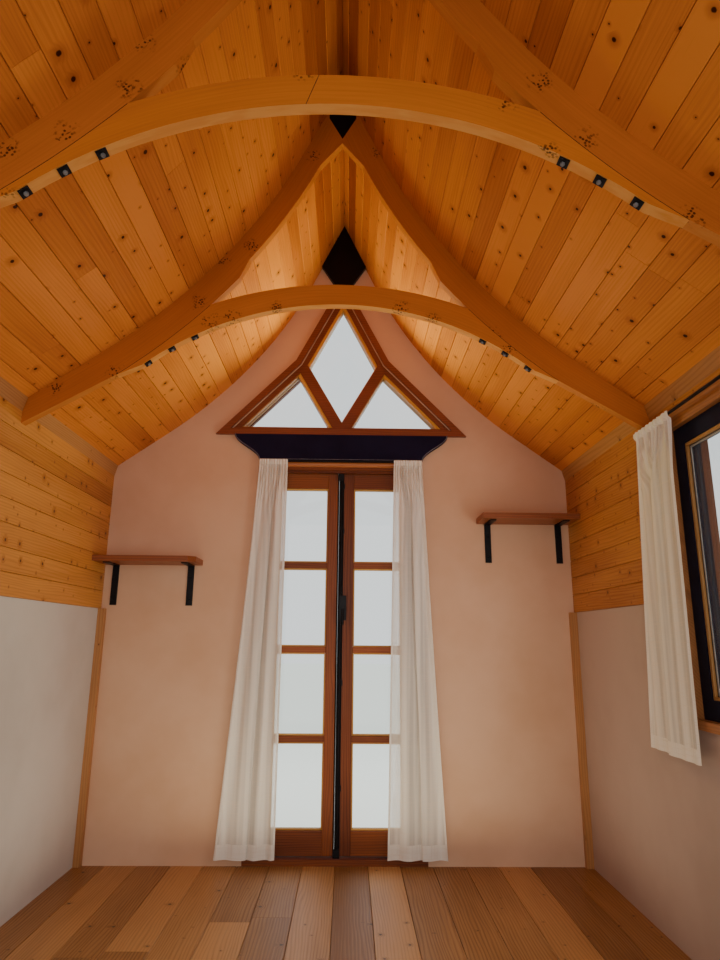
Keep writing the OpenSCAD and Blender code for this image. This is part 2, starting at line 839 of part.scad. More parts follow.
module side_curtains() {
    flare = 22;
    sleeve_r = curtain_rod_d / 2 + seat_gap;
    color(linen) difference() {
        across(side_rod_x - curtain_t / 2, side_rod_x + curtain_t / 2) for (side = [0, 1])
            translate([side_mid_y, 0]) mirror([side, 0]) translate([side_curtain_end, 0])
                polygon([[0, side_curtain_top], [side_curtain_l, side_curtain_top],
                    [side_curtain_foot_l, side_curtain_z], [flare, side_curtain_z]]);
        translate([side_rod_x, side_mid_y - outer_x, floor_z + side_rod_z]) rotate([-90, 0, 0])
            cylinder(h = 2 * outer_x, r = sleeve_r, $fn = 32);
        for (y = side_post_places)
            slab(side_rod_x, half_w, y - seat_gap, y + rod_post_w + seat_gap,
                side_rod_z - sleeve_r, side_rod_z + sleeve_r);
    }
}

module curtain_rods() {
    color(black_steel) {
        translate([-door_rod_l, gable_y - door_rod_out, floor_z + door_rod_z])
            rotate([0, 90, 0]) cylinder(h = 2 * door_rod_l, d = curtain_rod_d, $fn = 32);
        both_sides() slab(door_rod_l - rod_post_w, door_rod_l, gable_y - door_rod_out, gable_y,
            door_rod_z - curtain_rod_d / 2, door_rod_z + curtain_rod_d / 2);
        translate([side_rod_x, side_mid_y - side_rod_half, floor_z + side_rod_z])
            rotate([-90, 0, 0]) cylinder(h = 2 * side_rod_half, d = curtain_rod_d, $fn = 32);
        for (y = side_post_places)
            slab(side_rod_x, half_w, y, y + rod_post_w, side_rod_z - curtain_rod_d / 2,
                side_rod_z + curtain_rod_d / 2);
    }
}

module shelves() {
    clip = 30;
    color(dark_wood) {
        raised() translate([left_shelf_x, gable_y - shelf_d, left_shelf_z])
            linear_extrude(shelf_t) polygon([[0, 0], [left_shelf_l - clip, 0],
                [left_shelf_l, clip], [left_shelf_l, shelf_d], [0, shelf_d]]);
        slab(right_shelf_x, half_w, gable_y - shelf_d, gable_y, right_shelf_z,
            right_shelf_z + shelf_t);
    }
}

module bracket(x, z) {
    x1 = x - bracket_w / 2;
    slab(x1, x1 + bracket_w, gable_y - bracket_t, gable_y, z - bracket_h, z);
    slab(x1, x1 + bracket_w, gable_y - bracket_l, gable_y, z - bracket_t, z);
}

module shelf_brackets() {
    color(black_steel) {
        for (x = [left_shelf_x + bracket_in, left_shelf_x + left_shelf_l - bracket_in])
            bracket(x, left_shelf_z);
        for (x = [right_shelf_x + bracket_in, half_w - bracket_in])
            bracket(x, right_shelf_z);
    }
}

floor_frame();
floor_deck();
left_wall();
right_wall();
gable_wall_left();
gable_wall_right();
gable_wall_top();
left_boards();
right_boards();
left_panel();
right_panel();
wall_trims();
left_ceiling();
right_ceiling();
left_roof();
right_roof();
left_covering();
right_covering();
ridge_cap();
truss_1_rafters();
truss_2_rafters();
truss_3_rafters();
truss_1_arch();
truss_2_arch();
truss_3_arch();
peak_blocks();
arch_bolts();
door_frame();
left_leaf();
right_leaf();
left_leaf_glass();
right_leaf_glass();
door_bolt();
star_casing();
star_frame();
star_glass();
header_board();
side_window_reveal();
side_window_frame();
side_window_glass();
door_curtains();
side_curtains();
curtain_rods();
shelves();
shelf_brackets();
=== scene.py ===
"""End bay of a tiny house: boards, joinery, glass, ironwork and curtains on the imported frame."""

import math
import random

import bmesh
import bpy
from mathutils import Matrix, Vector


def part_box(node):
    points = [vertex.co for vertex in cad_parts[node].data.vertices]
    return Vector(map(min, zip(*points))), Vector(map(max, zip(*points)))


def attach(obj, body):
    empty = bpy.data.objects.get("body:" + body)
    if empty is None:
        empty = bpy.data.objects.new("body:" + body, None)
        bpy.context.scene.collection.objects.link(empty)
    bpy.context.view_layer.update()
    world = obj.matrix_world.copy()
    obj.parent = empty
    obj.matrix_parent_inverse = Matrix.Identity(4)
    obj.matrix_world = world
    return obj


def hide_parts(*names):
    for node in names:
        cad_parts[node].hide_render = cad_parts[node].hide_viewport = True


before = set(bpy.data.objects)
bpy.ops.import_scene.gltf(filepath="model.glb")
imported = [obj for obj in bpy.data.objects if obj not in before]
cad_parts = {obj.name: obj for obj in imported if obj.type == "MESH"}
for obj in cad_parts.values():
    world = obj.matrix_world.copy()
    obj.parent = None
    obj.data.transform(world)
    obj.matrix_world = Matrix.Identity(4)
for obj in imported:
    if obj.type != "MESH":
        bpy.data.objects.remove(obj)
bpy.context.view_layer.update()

bl_info = {
    "name": "Tiny House End Bay",
    "version": (1, 0, 0),
    "blender": (4, 5, 0),
    "location": "View3D > Sidebar > Tiny House",
    "description": "Dresses the end bay of a tiny house with boards, joinery, glass and curtains",
    "category": "Add Mesh",
}

# The room, in metres, as the frame has it
FLOOR_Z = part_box("floor_deck")[1].z
HALF_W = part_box("right_boards")[0].x
CORE_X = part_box("right_boards")[1].x
OUTER_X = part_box("right_wall")[1].x
EAVE_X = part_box("right_roof")[1].x
OPEN_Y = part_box("floor_deck")[0].y
GABLE_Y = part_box("gable_wall_left")[0].y
GABLE_OUT_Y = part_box("gable_wall_left")[1].y
DADO_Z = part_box("left_panel")[1].z
BASE_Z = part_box("left_wall")[0].z
DOOR_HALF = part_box("gable_wall_right")[0].x
DOOR_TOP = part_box("door_frame")[1].z

# The bell-shaped vault: a low slope and a steep slope joined by an arc
EAVE_Z = FLOOR_Z + 1.748
LOW_A = math.radians(36)
TOP_A = math.radians(64.5)
LOW_RUN = 0.252
STEEP_RUN = 0.156
LOW_BOARDS = 4
CURVE_BOARDS = 14
CEILING_T = 0.018
ROOF_OUT = 0.100
VAULT_R = (HALF_W - LOW_RUN - STEEP_RUN) / (math.sin(TOP_A) - math.sin(LOW_A))
VAULT_C = Vector((HALF_W - LOW_RUN + VAULT_R * math.sin(LOW_A),
                  EAVE_Z + LOW_RUN * math.tan(LOW_A) + VAULT_R * math.cos(LOW_A)))

# Trusses
TRUSS_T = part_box("truss_1_rafters")[1].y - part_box("truss_1_rafters")[0].y
TRUSS_FRONTS = [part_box(f"truss_{i}_rafters")[0].y for i in (1, 2, 3)]
ARCH_R = 1.115
CROWN_D = 0.080
ARCH_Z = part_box("truss_1_arch")[1].z - CROWN_D - ARCH_R

# Star window, over its casing
STAR_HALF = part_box("star_casing")[1].x
STAR_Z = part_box("star_casing")[0].z
STAR_KINK = (0.234, 0.396)
STAR_H = 0.852

# Side window's opening
SIDE_Y1, SIDE_Y2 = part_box("side_window_frame")[0].y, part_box("side_window_frame")[1].y
SIDE_Z1, SIDE_Z2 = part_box("side_window_frame")[0].z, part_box("side_window_frame")[1].z

X, Y, Z = Vector((1, 0, 0)), Vector((0, 1, 0)), Vector((0, 0, 1))
SIDES = ((-1, "left"), (1, "right"))


def rgb(code):
    """A hex colour as Blender's linear red, green, blue and alpha."""
    parts = [int(code[i:i + 2], 16) / 255 for i in (1, 3, 5)]
    return tuple(c / 12.92 if c <= 0.04045 else ((c + 0.055) / 1.055) ** 2.4 for c in parts) + (1,)


def within(low, high, value):
    """The value, kept between two limits."""
    return min(high, max(low, value))


def on_arc(a, out=0.0):
    """A point of the vault's arc at slope a, moved outwards."""
    return VAULT_C - (VAULT_R - out) * Vector((math.sin(a), math.cos(a)))


def low_line(x, out=0.0):
    """Height of the low slope over x, moved outwards."""
    p = on_arc(LOW_A, out)
    return p.y + (p.x - x) * math.tan(LOW_A)


def steep_line(x, out=0.0):
    """Height of the steep slope over x, moved outwards."""
    p = on_arc(TOP_A, out)
    return p.y + (p.x - x) * math.tan(TOP_A)


def vault_line(x_edge, out=0.0):
    """The vault's half outline from an edge to the ridge."""
    arc = [on_arc(LOW_A + (TOP_A - LOW_A) * i / CURVE_BOARDS, out) for i in range(CURVE_BOARDS + 1)]
    return [Vector((x_edge, low_line(x_edge, out)))] + arc + [Vector((0, steep_line(0, out)))]


def height_at(line, x):
    """Height of a half outline over x, on either side of the middle."""
    x = abs(x)
    for p, q in zip(line, line[1:]):
        if q.x <= x <= p.x:
            share = (p.x - x) / (p.x - q.x) if p.x > q.x else 0
            return p.y + (q.y - p.y) * share
    return line[0].y if x > line[0].x else line[-1].y


def crossing(p, u, q, v):
    """Where the line through p along u meets the line through q along v."""
    d = q - p
    return p + u * (d.x * v.y - d.y * v.x) / (u.x * v.y - u.y * v.x)


def inset(outline, widths):
    """Moves each edge of an anticlockwise outline inwards by its own width."""
    count = len(outline)
    corners = []
    for i in range(count):
        p, q, r = outline[i - 1], outline[i], outline[(i + 1) % count]
        u, v = (q - p).normalized(), (r - q).normalized()
        m = q + widths[i - 1] * Vector((-u.y, u.x))
        n = q + widths[i] * Vector((-v.y, v.x))
        corners.append(crossing(m, u, n, v))
    return corners


# Materials


def put(tree, kind, inputs=None, **settings):
    """Adds a node; an input is a socket to link or a value to set."""
    made = tree.nodes.new(kind)
    for key, value in settings.items():
        setattr(made, key, value)
    for key, value in (inputs or {}).items():
        if isinstance(value, bpy.types.NodeSocket):
            tree.links.new(value, made.inputs[key])
        else:
            made.inputs[key].default_value = value
    return made


def maths(tree, operation, *values):
    """A Math node's result."""
    return put(tree, "ShaderNodeMath", dict(enumerate(values)), operation=operation).outputs[0]


def ramp(tree, value, low, high):
    """0 below low, 1 above high and smooth between them."""
    made = put(tree, "ShaderNodeMapRange", {"Value": value, "From Min": low, "From Max": high},
               interpolation_type="SMOOTHSTEP")
    return made.outputs["Result"]


def colour_mix(tree, share, first, second):
    """Mixes two colours by a share, each a socket or a value."""
    return put(tree, "ShaderNodeMix", {0: share, 6: first, 7: second}, data_type="RGBA").outputs[2]


def stretched(tree, vector, scale):
    """A vector scaled differently along each axis."""
    return put(tree, "ShaderNodeVectorMath", {0: vector, 1: scale}, operation="MULTIPLY").outputs[0]


def sides_of(tree, vector):
    """A vector's X, Y and Z."""
    return put(tree, "ShaderNodeSeparateXYZ", {"Vector": vector}).outputs


def flat_cells(tree, vector, scale, randomness):
    """Random cells along and across the grain: the distance to a cell's middle and its random values."""
    sides = sides_of(tree, vector)
    across = maths(tree, "ADD", sides["Y"], sides["Z"])
    flat = put(tree, "ShaderNodeCombineXYZ", {0: sides["X"], 1: across}).outputs[0]
    cells = put(tree, "ShaderNodeTexVoronoi", {"Vector": flat, "Scale": scale, "Randomness": randomness},
                voronoi_dimensions="2D").outputs
    return cells["Distance"], put(tree, "ShaderNodeSeparateColor", {"Color": cells["Color"]}).outputs


def noise(tree, vector, scale=1.0, detail=2.0, roughness=0.5):
    """A noise texture's value."""
    made = put(tree, "ShaderNodeTexNoise",
               {"Vector": vector, "Scale": scale, "Detail": detail, "Roughness": roughness})
    return made.outputs["Fac"]


def new_group(name, inputs, outputs):
    """A shader node group with its sockets and its input and output nodes."""
    group = bpy.data.node_groups.new(name, "ShaderNodeTree")
    for label, kind, value in inputs:
        socket = group.interface.new_socket(label, in_out="INPUT", socket_type=kind)
        if value is not None:
            socket.default_value = value
    for label, kind in outputs:
        group.interface.new_socket(label, in_out="OUTPUT", socket_type=kind)
    return group, group.nodes.new("NodeGroupInput").outputs, group.nodes.new("NodeGroupOutput").inputs


def wood_grain_group():
    """Softwood with fine streaks, faint flames and small round knots. The grain runs along X."""
    group, given, out = new_group(
        "Wood Grain",
        [("Vector", "NodeSocketVector", None), ("Tone", "NodeSocketFloat", 0.5),
         ("Pale", "NodeSocketColor", (0.8, 0.5, 0.2, 1)), ("Dark", "NodeSocketColor", (0.5, 0.2, 0.1, 1)),
         ("Knot", "NodeSocketColor", (0.1, 0.04, 0.02, 1)), ("Knots", "NodeSocketFloat", 0.5),
         ("Rings", "NodeSocketFloat", 0.5)],
        [("Color", "NodeSocketColor"), ("Polish", "NodeSocketFloat"), ("Height", "NodeSocketFloat")])
    vector = given["Vector"]
    sides = sides_of(group, vector)
    across = maths(group, "ADD", sides["Y"], sides["Z"])
    distance, picked = flat_cells(group, vector, 11.5, 0.95)
    chosen = maths(group, "LESS_THAN", picked[0], given["Knots"])
    size = maths(group, "MULTIPLY_ADD", maths(group, "POWER", picked[1], 2.5), 0.055, 0.022)
    wobble = noise(group, stretched(group, vector, (45, 110, 110)), 1, 2)
    reach = maths(group, "ADD", distance, maths(group, "MULTIPLY_ADD", wobble, 0.05, -0.025))
    share = maths(group, "DIVIDE", reach, size)
    core = maths(group, "MULTIPLY", chosen, ramp(group, share, 1.25, 0.75))
    halo = maths(group, "MULTIPLY", chosen, ramp(group, share, 4.6, 1.0))
    drift = noise(group, stretched(group, vector, (1.5, 9, 9)), 1, 2)
    bend = maths(group, "ADD", maths(group, "MULTIPLY", drift, 34), maths(group, "MULTIPLY", halo, 7))
    rings = maths(group, "SINE", maths(group, "ADD", maths(group, "MULTIPLY", across, 560), bend))
    rings = maths(group, "POWER", maths(group, "MULTIPLY_ADD", rings, 0.5, 0.5), 2)
    streaks = noise(group, stretched(group, vector, (5, 260, 260)), 1, 3, 0.6)
    cloud = noise(group, stretched(group, vector, (1.6, 8, 8)), 1, 2)
    dark = maths(group, "MULTIPLY_ADD", rings, given["Rings"], 0.06)
    dark = maths(group, "ADD", dark, maths(group, "MULTIPLY_ADD", streaks, 0.55, -0.275))
    dark = maths(group, "ADD", dark, maths(group, "MULTIPLY_ADD", cloud, 0.9, -0.45))
    dark = maths(group, "ADD", dark, maths(group, "ADD", given["Tone"], -0.25))
    dark = put(group, "ShaderNodeClamp", {"Value": dark}).outputs[0]
    colour = colour_mix(group, dark, given["Pale"], given["Dark"])
    glow = colour_mix(group, maths(group, "MULTIPLY", halo, 0.5), colour, given["Dark"])
    group.links.new(colour_mix(group, core, glow, given["Knot"]), out["Color"])
    polish = maths(group, "MULTIPLY_ADD", streaks, 0.25, 0.30)
    group.links.new(polish, out["Polish"])
    height = maths(group, "ADD", maths(group, "MULTIPLY", streaks, 0.6),
                   maths(group, "MULTIPLY", rings, 0.4))
    group.links.new(height, out["Height"])
    return group


def specks_group():
    """Clusters of small dark pin knots and stains, as hewn beams have."""
    group, given, out = new_group(
        "Pin Knots",
        [("Vector", "NodeSocketVector", None), ("Amount", "NodeSocketFloat", 0.5)],
        [("Mask", "NodeSocketFloat")])
    vector = given["Vector"]
    distance, picked = flat_cells(group, vector, 7.0, 1.0)
    chosen = maths(group, "LESS_THAN", picked[0], 0.5)
    ragged = maths(group, "MULTIPLY_ADD", noise(group, vector, 38, 2), 0.36, -0.18)
    near = ramp(group, maths(group, "ADD", distance, ragged), 0.26, 0.06)
    near = maths(group, "MULTIPLY", near, chosen)
    dot, kept = flat_cells(group, vector, 125.0, 1.0)
    small = maths(group, "MULTIPLY", ramp(group, dot, 0.52, 0.30),
                  maths(group, "LESS_THAN", kept[0], 0.42))
    smear = ramp(group, noise(group, stretched(group, vector, (70, 120, 120)), 1, 3), 0.58, 0.66)
    marks = maths(group, "MAXIMUM", small, maths(group, "MULTIPLY", smear, 0.75))
    mask = maths(group, "MULTIPLY", maths(group, "MULTIPLY", near, marks), given["Amount"])
    group.links.new(mask, out["Mask"])
    return group


def mottle_group():
    """A soft uneven tone and a fine tooth, for paint, plaster and coated metal."""
    group, given, out = new_group(
        "Mottle",
        [("Vector", "NodeSocketVector", None), ("Colour", "NodeSocketColor", (0.8, 0.8, 0.8, 1)),
         ("Shade", "NodeSocketColor", (0.6, 0.6, 0.6, 1)), ("Patch", "NodeSocketFloat", 3.0),
         ("Tooth", "NodeSocketFloat", 300.0)],
        [("Color", "NodeSocketColor"), ("Height", "NodeSocketFloat"), ("Wear", "NodeSocketFloat")])
    patches = noise(group, given["Vector"], given["Patch"], 4, 0.6)
    group.links.new(colour_mix(group, ramp(group, patches, 0.35, 0.7), given["Colour"], given["Shade"]),
                    out["Color"])
    tooth = noise(group, given["Vector"], given["Tooth"], 3)
    group.links.new(tooth, out["Height"])
    group.links.new(patches, out["Wear"])
    return group


def linen_group():
    """Open slubbed linen weave seen flat: X runs across the cloth and Y up it, in metres."""
    group, given, out = new_group(
        "Linen Weave",
        [("Vector", "NodeSocketVector", None)],
        [("Color", "NodeSocketColor"), ("Cover", "NodeSocketFloat"), ("Height", "NodeSocketFloat")])
    sides = sides_of(group, given["Vector"])
    warp = maths(group, "SINE", maths(group, "MULTIPLY", sides["X"], 5200))
    weft = maths(group, "SINE", maths(group, "MULTIPLY", sides["Y"], 5200))
    weave = maths(group, "MULTIPLY", maths(group, "ADD", warp, weft), 0.25)
    slub_x = ramp(group, noise(group, stretched(group, given["Vector"], (420, 7, 1)), 1, 2), 0.52, 0.72)
    slub_y = ramp(group, noise(group, stretched(group, given["Vector"], (7, 420, 1)), 1, 2), 0.52, 0.72)
    slubs = maths(group, "MAXIMUM", slub_x, slub_y)
    colour = colour_mix(group, slubs, rgb("#f3eee4"), rgb("#e2d9ca"))
    group.links.new(colour, out["Color"])
    bands = ramp(group, noise(group, stretched(group, given["Vector"], (22, 0.5, 1)), 1, 2), 0.35, 0.65)
    cover = maths(group, "MULTIPLY_ADD", bands, 0.36, 0.58)
    group.links.new(maths(group, "MULTIPLY_ADD", slubs, 0.2, cover), out["Cover"])
    group.links.new(maths(group, "ADD", weave, slubs), out["Height"])
    return group


def new_material(name):
    """An empty material with a Principled shader."""
    made = bpy.data.materials.new(name)
    made.use_nodes = True
    tree = made.node_tree
    tree.nodes.clear()
    shader = tree.nodes.new("ShaderNodeBsdfPrincipled")
    output = tree.nodes.new("ShaderNodeOutputMaterial")
    tree.links.new(shader.outputs[0], output.inputs["Surface"])
    return made, tree, shader


def use_group(tree, name, inputs):
    """Places a shader node group with its own values."""
    return put(tree, "ShaderNodeGroup", inputs, node_tree=bpy.data.node_groups[name]).outputs


def bumped(tree, shader, height, strength, distance):
    """Feeds a height into the shader's normal."""
    bump = put(tree, "ShaderNodeBump", {"Height": height, "Strength": strength, "Distance": distance})
    tree.links.new(bump.outputs[0], shader.inputs["Normal"])


def place(tree):
    """The surface's own place in the house."""
    return put(tree, "ShaderNodeTexCoord").outputs["Object"]


def board_coordinates(tree):
    """Grain coordinates and tone that each board carries."""
    grain = put(tree, "ShaderNodeAttribute", attribute_name="grain").outputs["Vector"]
    tone = put(tree, "ShaderNodeAttribute", attribute_name="tone").outputs["Fac"]
    return grain, tone


def turned(tree, vector, order):
    """A vector with its axes in another order, such as YZX."""
    sides = sides_of(tree, vector)
    return put(tree, "ShaderNodeCombineXYZ", {i: sides[a] for i, a in enumerate(order)}).outputs[0]


# Shifts that give each truss, and each side of a vault, grain of its own
TRUSS_SHIFT = 3.7
SIDE_SHIFT = 7.3


def bent_coordinates(tree, centre_x, centre_z):
    """Grain along a curve: about one centre for an arch, about one on each side for a rafter."""
    sides = sides_of(tree, place(tree))
    across = sides["X"]
    up = maths(tree, "SUBTRACT", sides["Z"], centre_z)
    if centre_x:
        across = maths(tree, "SUBTRACT", maths(tree, "ABSOLUTE", across), centre_x)
        up = maths(tree, "MULTIPLY", up, -1)
    radius = maths(tree, "SQRT", maths(tree, "ADD", maths(tree, "MULTIPLY", across, across),
                                       maths(tree, "MULTIPLY", up, up)))
    length = maths(tree, "MULTIPLY", maths(tree, "ARCTAN2", across, up), VAULT_R if centre_x else ARCH_R)
    if centre_x:
        length = maths(tree, "MULTIPLY_ADD", maths(tree, "SIGN", sides["X"]), SIDE_SHIFT, length)
    truss = maths(tree, "FLOOR", maths(tree, "ADD", sides["Y"], 2))
    truss = maths(tree, "MULTIPLY", truss, TRUSS_SHIFT)
    return put(tree, "ShaderNodeCombineXYZ",
               {0: maths(tree, "ADD", length, truss), 1: radius, 2: sides["Y"]}).outputs[0]


def painted_underside_light(tree, colour, vector, underside_light, low, high):
    """Painted light on the undersides: faces that look down are mixed towards a paler colour, as light
    from below would make them, with a ragged edge.
    """
    normal = put(tree, "ShaderNodeNewGeometry").outputs["Normal"]
    down = maths(tree, "MULTIPLY", sides_of(tree, normal)["Z"], -1)
    streaks = noise(tree, stretched(tree, vector, (14, 70, 70)), 1, 3)
    ragged = maths(tree, "MULTIPLY_ADD", streaks, 0.5, -0.25)
    share = ramp(tree, maths(tree, "ADD", down, ragged), low, high)
    chips = ramp(tree, noise(tree, stretched(tree, vector, (9, 40, 40)), 1, 3), 0.38, 0.62)
    share = maths(tree, "MULTIPLY", share, maths(tree, "MULTIPLY_ADD", chips, 0.35, 0.45))
    return colour_mix(tree, share, colour, rgb(underside_light))


def wood(name, pale, dark, knot, knots, rings, coordinates=board_coordinates, gloss=0.35, specks=0.0,
         bump=0.25, underside_light=None):
    """A varnished or oiled wood."""
    made, tree, shader = new_material(name)
    found = coordinates(tree)
    vector, tone = found if isinstance(found, tuple) else (found, 0.4)
    grain = use_group(tree, "Wood Grain", {"Vector": vector, "Tone": tone, "Pale": rgb(pale),
                                           "Dark": rgb(dark), "Knot": rgb(knot), "Knots": knots,
                                           "Rings": rings})
    colour = grain["Color"]
    # Painted light: faces that look down are made paler, as if lit from below.
    if underside_light:
        colour = painted_underside_light(tree, colour, vector, *underside_light)
    if specks:
        marks = use_group(tree, "Pin Knots", {"Vector": vector, "Amount": specks})["Mask"]
        colour = colour_mix(tree, marks, colour, rgb(knot))
    tree.links.new(colour, shader.inputs["Base Color"])
    tree.links.new(grain["Polish"], shader.inputs["Roughness"])
    shader.inputs["Specular IOR Level"].default_value = gloss
    bumped(tree, shader, grain["Height"], bump, 0.0006)
    return made


def coat(name, colour, shade, roughness, patch=3.0, tooth=300.0, bump=0.1, metallic=0.0, gloss=0.4):
    """Paint, plaster or coated metal."""
    made, tree, shader = new_material(name)
    mottle = use_group(tree, "Mottle", {"Vector": place(tree), "Colour": rgb(colour),
                                        "Shade": rgb(shade), "Patch": patch, "Tooth": tooth})
    tree.links.new(mottle["Color"], shader.inputs["Base Color"])
    tree.links.new(maths(tree, "MULTIPLY_ADD", mottle["Wear"], 0.2, roughness - 0.1),
                   shader.inputs["Roughness"])
    shader.inputs["Metallic"].default_value = metallic
    shader.inputs["Specular IOR Level"].default_value = gloss
    bumped(tree, shader, mottle["Height"], bump, 0.0005)
    return made


def pane_glass():
    """Clear glass that lets lamps shine through."""
    made, tree, shader = new_material("Pane Glass")
    shader.inputs["Base Color"].default_value = rgb("#f2f7f6")
    shader.inputs["Roughness"].default_value = 0.02
    shader.inputs["IOR"].default_value = 1.45
    shader.inputs["Transmission Weight"].default_value = 1.0
    smudges = use_group(tree, "Mottle", {"Vector": place(tree), "Patch": 6.0, "Tooth": 2.5})
    bumped(tree, shader, smudges["Height"], 0.02, 0.002)
    clear = put(tree, "ShaderNodeBsdfTransparent", {"Color": rgb("#eef5f3")})
    path = put(tree, "ShaderNodeLightPath").outputs
    mix = put(tree, "ShaderNodeMixShader", {0: path["Is Shadow Ray"], 1: shader.outputs[0],
                                            2: clear.outputs[0]})
    output = next(n for n in tree.nodes if n.type == "OUTPUT_MATERIAL")
    tree.links.new(mix.outputs[0], output.inputs["Surface"])
    return made


def linen():
    """Sheer off-white linen."""
    made, tree, shader = new_material("Sheer Linen")
    flat = put(tree, "ShaderNodeAttribute", attribute_name="cloth").outputs["Vector"]
    weave = use_group(tree, "Linen Weave", {"Vector": flat})
    tree.links.new(weave["Color"], shader.inputs["Base Color"])
    hem = put(tree, "ShaderNodeAttribute", attribute_name="hem").outputs["Fac"]
    tree.links.new(maths(tree, "MAXIMUM", weave["Cover"], hem), shader.inputs["Alpha"])
    shader.inputs["Roughness"].default_value = 0.85
    shader.inputs["Sheen Weight"].default_value = 0.15
    bumped(tree, shader, weave["Height"], 0.35, 0.0006)
    return made


# Boards and sticks


class Timber:
    """Gathers the boards of one piece, each with its own grain and tone."""

    def __init__(self, seed):
        self.rng = random.Random(seed)
        self.points, self.faces, self.grain, self.tone = [], [], [], []

    def solid(self, base, move, grain, face, tone=None):
        """A prism: a flat outline moved along a vector. Face is the way its good side looks."""
        first, count = len(self.points), len(base)
        along, good = grain.normalized(), face.normalized()
        across = good.cross(along)
        slip = (self.rng.uniform(0, 60), self.rng.uniform(0, 60), self.rng.uniform(0, 9))
        tone = self.rng.random() if tone is None else tone
        for point in base + [p + move for p in base]:
            self.points.append(point)
            self.grain.append((point.dot(along) + slip[0], point.dot(across) + slip[1],
                               point.dot(good) + slip[2]))
            self.tone.append(tone)
        normal = sum((base[i - 1].cross(base[i]) for i in range(count)), Vector())
        order = list(range(count))
        if normal.dot(move) > 0:
            order.reverse()
        self.faces.append([first + i for i in order])
        self.faces.append([first + count + i for i in reversed(order)])
        for i in range(count):
            a, b = order[i], order[(i + 1) % count]
            self.faces.append([first + b, first + a, first + count + a, first + count + b])

    def box(self, low, high, grain, face, tone=None):
        """A straight board between two corners."""
        (x1, y1, z1), (x2, y2, z2) = low, high
        base = [Vector((x1, y1, z1)), Vector((x2, y1, z1)), Vector((x2, y2, z1)), Vector((x1, y2, z1))]
        self.solid(base, Vector((0, 0, z2 - z1)), grain, face, tone)

    def upright(self, outline, y1, y2, grain, face=-Y, tone=None):
        """An X-Z outline from y1 to y2."""
        base = [Vector((p[0], y1, p[1])) for p in outline]
        self.solid(base, Vector((0, y2 - y1, 0)), grain, face, tone)

    def lengthwise(self, section, y1, y2, gap, face, tone=None):
        """A board along the house with an X-Z section, short of its neighbours by half a gap each."""
        self.upright(section, y1 + gap / 2, y2 - gap / 2, Y, face, tone)

    def sideways(self, outline, x1, x2, grain, face=-X, tone=None):
        """A Y-Z outline from x1 to x2."""
        base = [Vector((x1, p[0], p[1])) for p in outline]
        self.solid(base, Vector((x2 - x1, 0, 0)), grain, face, tone)

    def ring(self, outline, widths, near, far, gap=0.0003, side_wall=False, edges=None):
        """Mitred sticks inside an anticlockwise outline, one along each of its edges."""
        inner = inset(outline, widths)
        for i, (p, q) in enumerate(zip(outline, outline[1:] + outline[:1])):
            if edges and i not in edges:
                continue
            r, s = inner[(i + 1) % len(inner)], inner[i]
            along = (q - p).normalized()
            stick = [p + along * gap, q - along * gap, r - along * gap, s + along * gap]
            if side_wall:
                self.sideways(stick, near, far, Vector((0, along.x, along.y)))
            else:
                self.upright(stick, near, far, Vector((along.x, 0, along.y)))

    def made(self, name, material, body="house", bevel=0.0012, replaces=(), slot=None):
        """The finished piece, bevelled and riding on its body."""
        mesh = bpy.data.meshes.new(name)
        mesh.from_pydata(self.points, [], self.faces)
        grain = mesh.attributes.new("grain", "FLOAT_VECTOR", "POINT")
        grain.data.foreach_set("vector", [c for g in self.grain for c in g])
        tone = mesh.attributes.new("tone", "FLOAT", "POINT")
        tone.data.foreach_set("value", self.tone)
        return finished(mesh, name, material, body, bevel, replaces)


def finished(mesh, name, material, body="house", bevel=0.0, replaces=()):
    """Links a mesh as a piece of the object."""
    mesh.materials.append(material)
    piece = bpy.data.objects.new(name, mesh)
    bpy.context.scene.collection.objects.link(piece)
    if bevel:
        add_bevel(piece, bevel)
    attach(piece, body)
    if replaces:
        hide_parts(*replaces)
    return piece


def add_bevel(piece, width):
    """Eased edges."""
    bevel = piece.modifiers.new("Eased Edges", "BEVEL")
    bevel.width = width
    bevel.segments = 2
    bevel.limit_method = "ANGLE"
    bevel.angle_limit = math.radians(35)


def dress(node, material, bevel=0.0):
    """Gives a node of the frame its finish."""
    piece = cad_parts[node]
    piece.data.materials.clear()
    piece.data.materials.append(material)
    if bevel:
        add_bevel(piece, bevel)


def mesh_of(bm, name, smooth=True):
    """The finished mesh of a bmesh, its faces shaded smooth between sharp edges."""
    mesh = bpy.data.meshes.new(name)
    bm.to_mesh(mesh)
    bm.free()
    if smooth:
        mesh.shade_smooth()
        mesh.set_sharp_from_angle(angle=math.radians(40))
    return mesh


def lathe(bm, profile, base, axis, sides=24):
    """Turns a profile of (radius, distance) pairs about an axis."""
    turn = Z.rotation_difference(axis.normalized()).to_matrix()
    rings = []
    for radius, distance in profile:
        if radius == 0:
            rings.append([bm.verts.new(base + turn @ Vector((0, 0, distance)))])
            continue
        angles = [2 * math.pi * k / sides for k in range(sides)]
        ring = [Vector((radius * math.cos(a), radius * math.sin(a), distance)) for a in angles]
        rings.append([bm.verts.new(base + turn @ point) for point in ring])
    for low, high in zip(rings, rings[1:]):
        for k in range(sides):
            a, b = k, (k + 1) % sides
            if len(low) == 1:
                bm.faces.new((low[0], high[b], high[a]))
            elif len(high) == 1:
                bm.faces.new((low[a], low[b], high[0]))
            else:
                bm.faces.new((low[a], low[b], high[b], high[a]))
    for ring, flip in ((rings[0], True), (rings[-1], False)):
        if len(ring) > 1:
            bm.faces.new(list(reversed(ring)) if flip else ring)


def turned_pieces(name, material, items, smooth=True):
    """One piece from many turned forms, each (profile, base, axis, sides)."""
    bm = bmesh.new()
    for profile, base, axis, sides in items:
        lathe(bm, profile, base, axis, sides)
    return finished(mesh_of(bm, name, smooth), name, material)


# Boarding


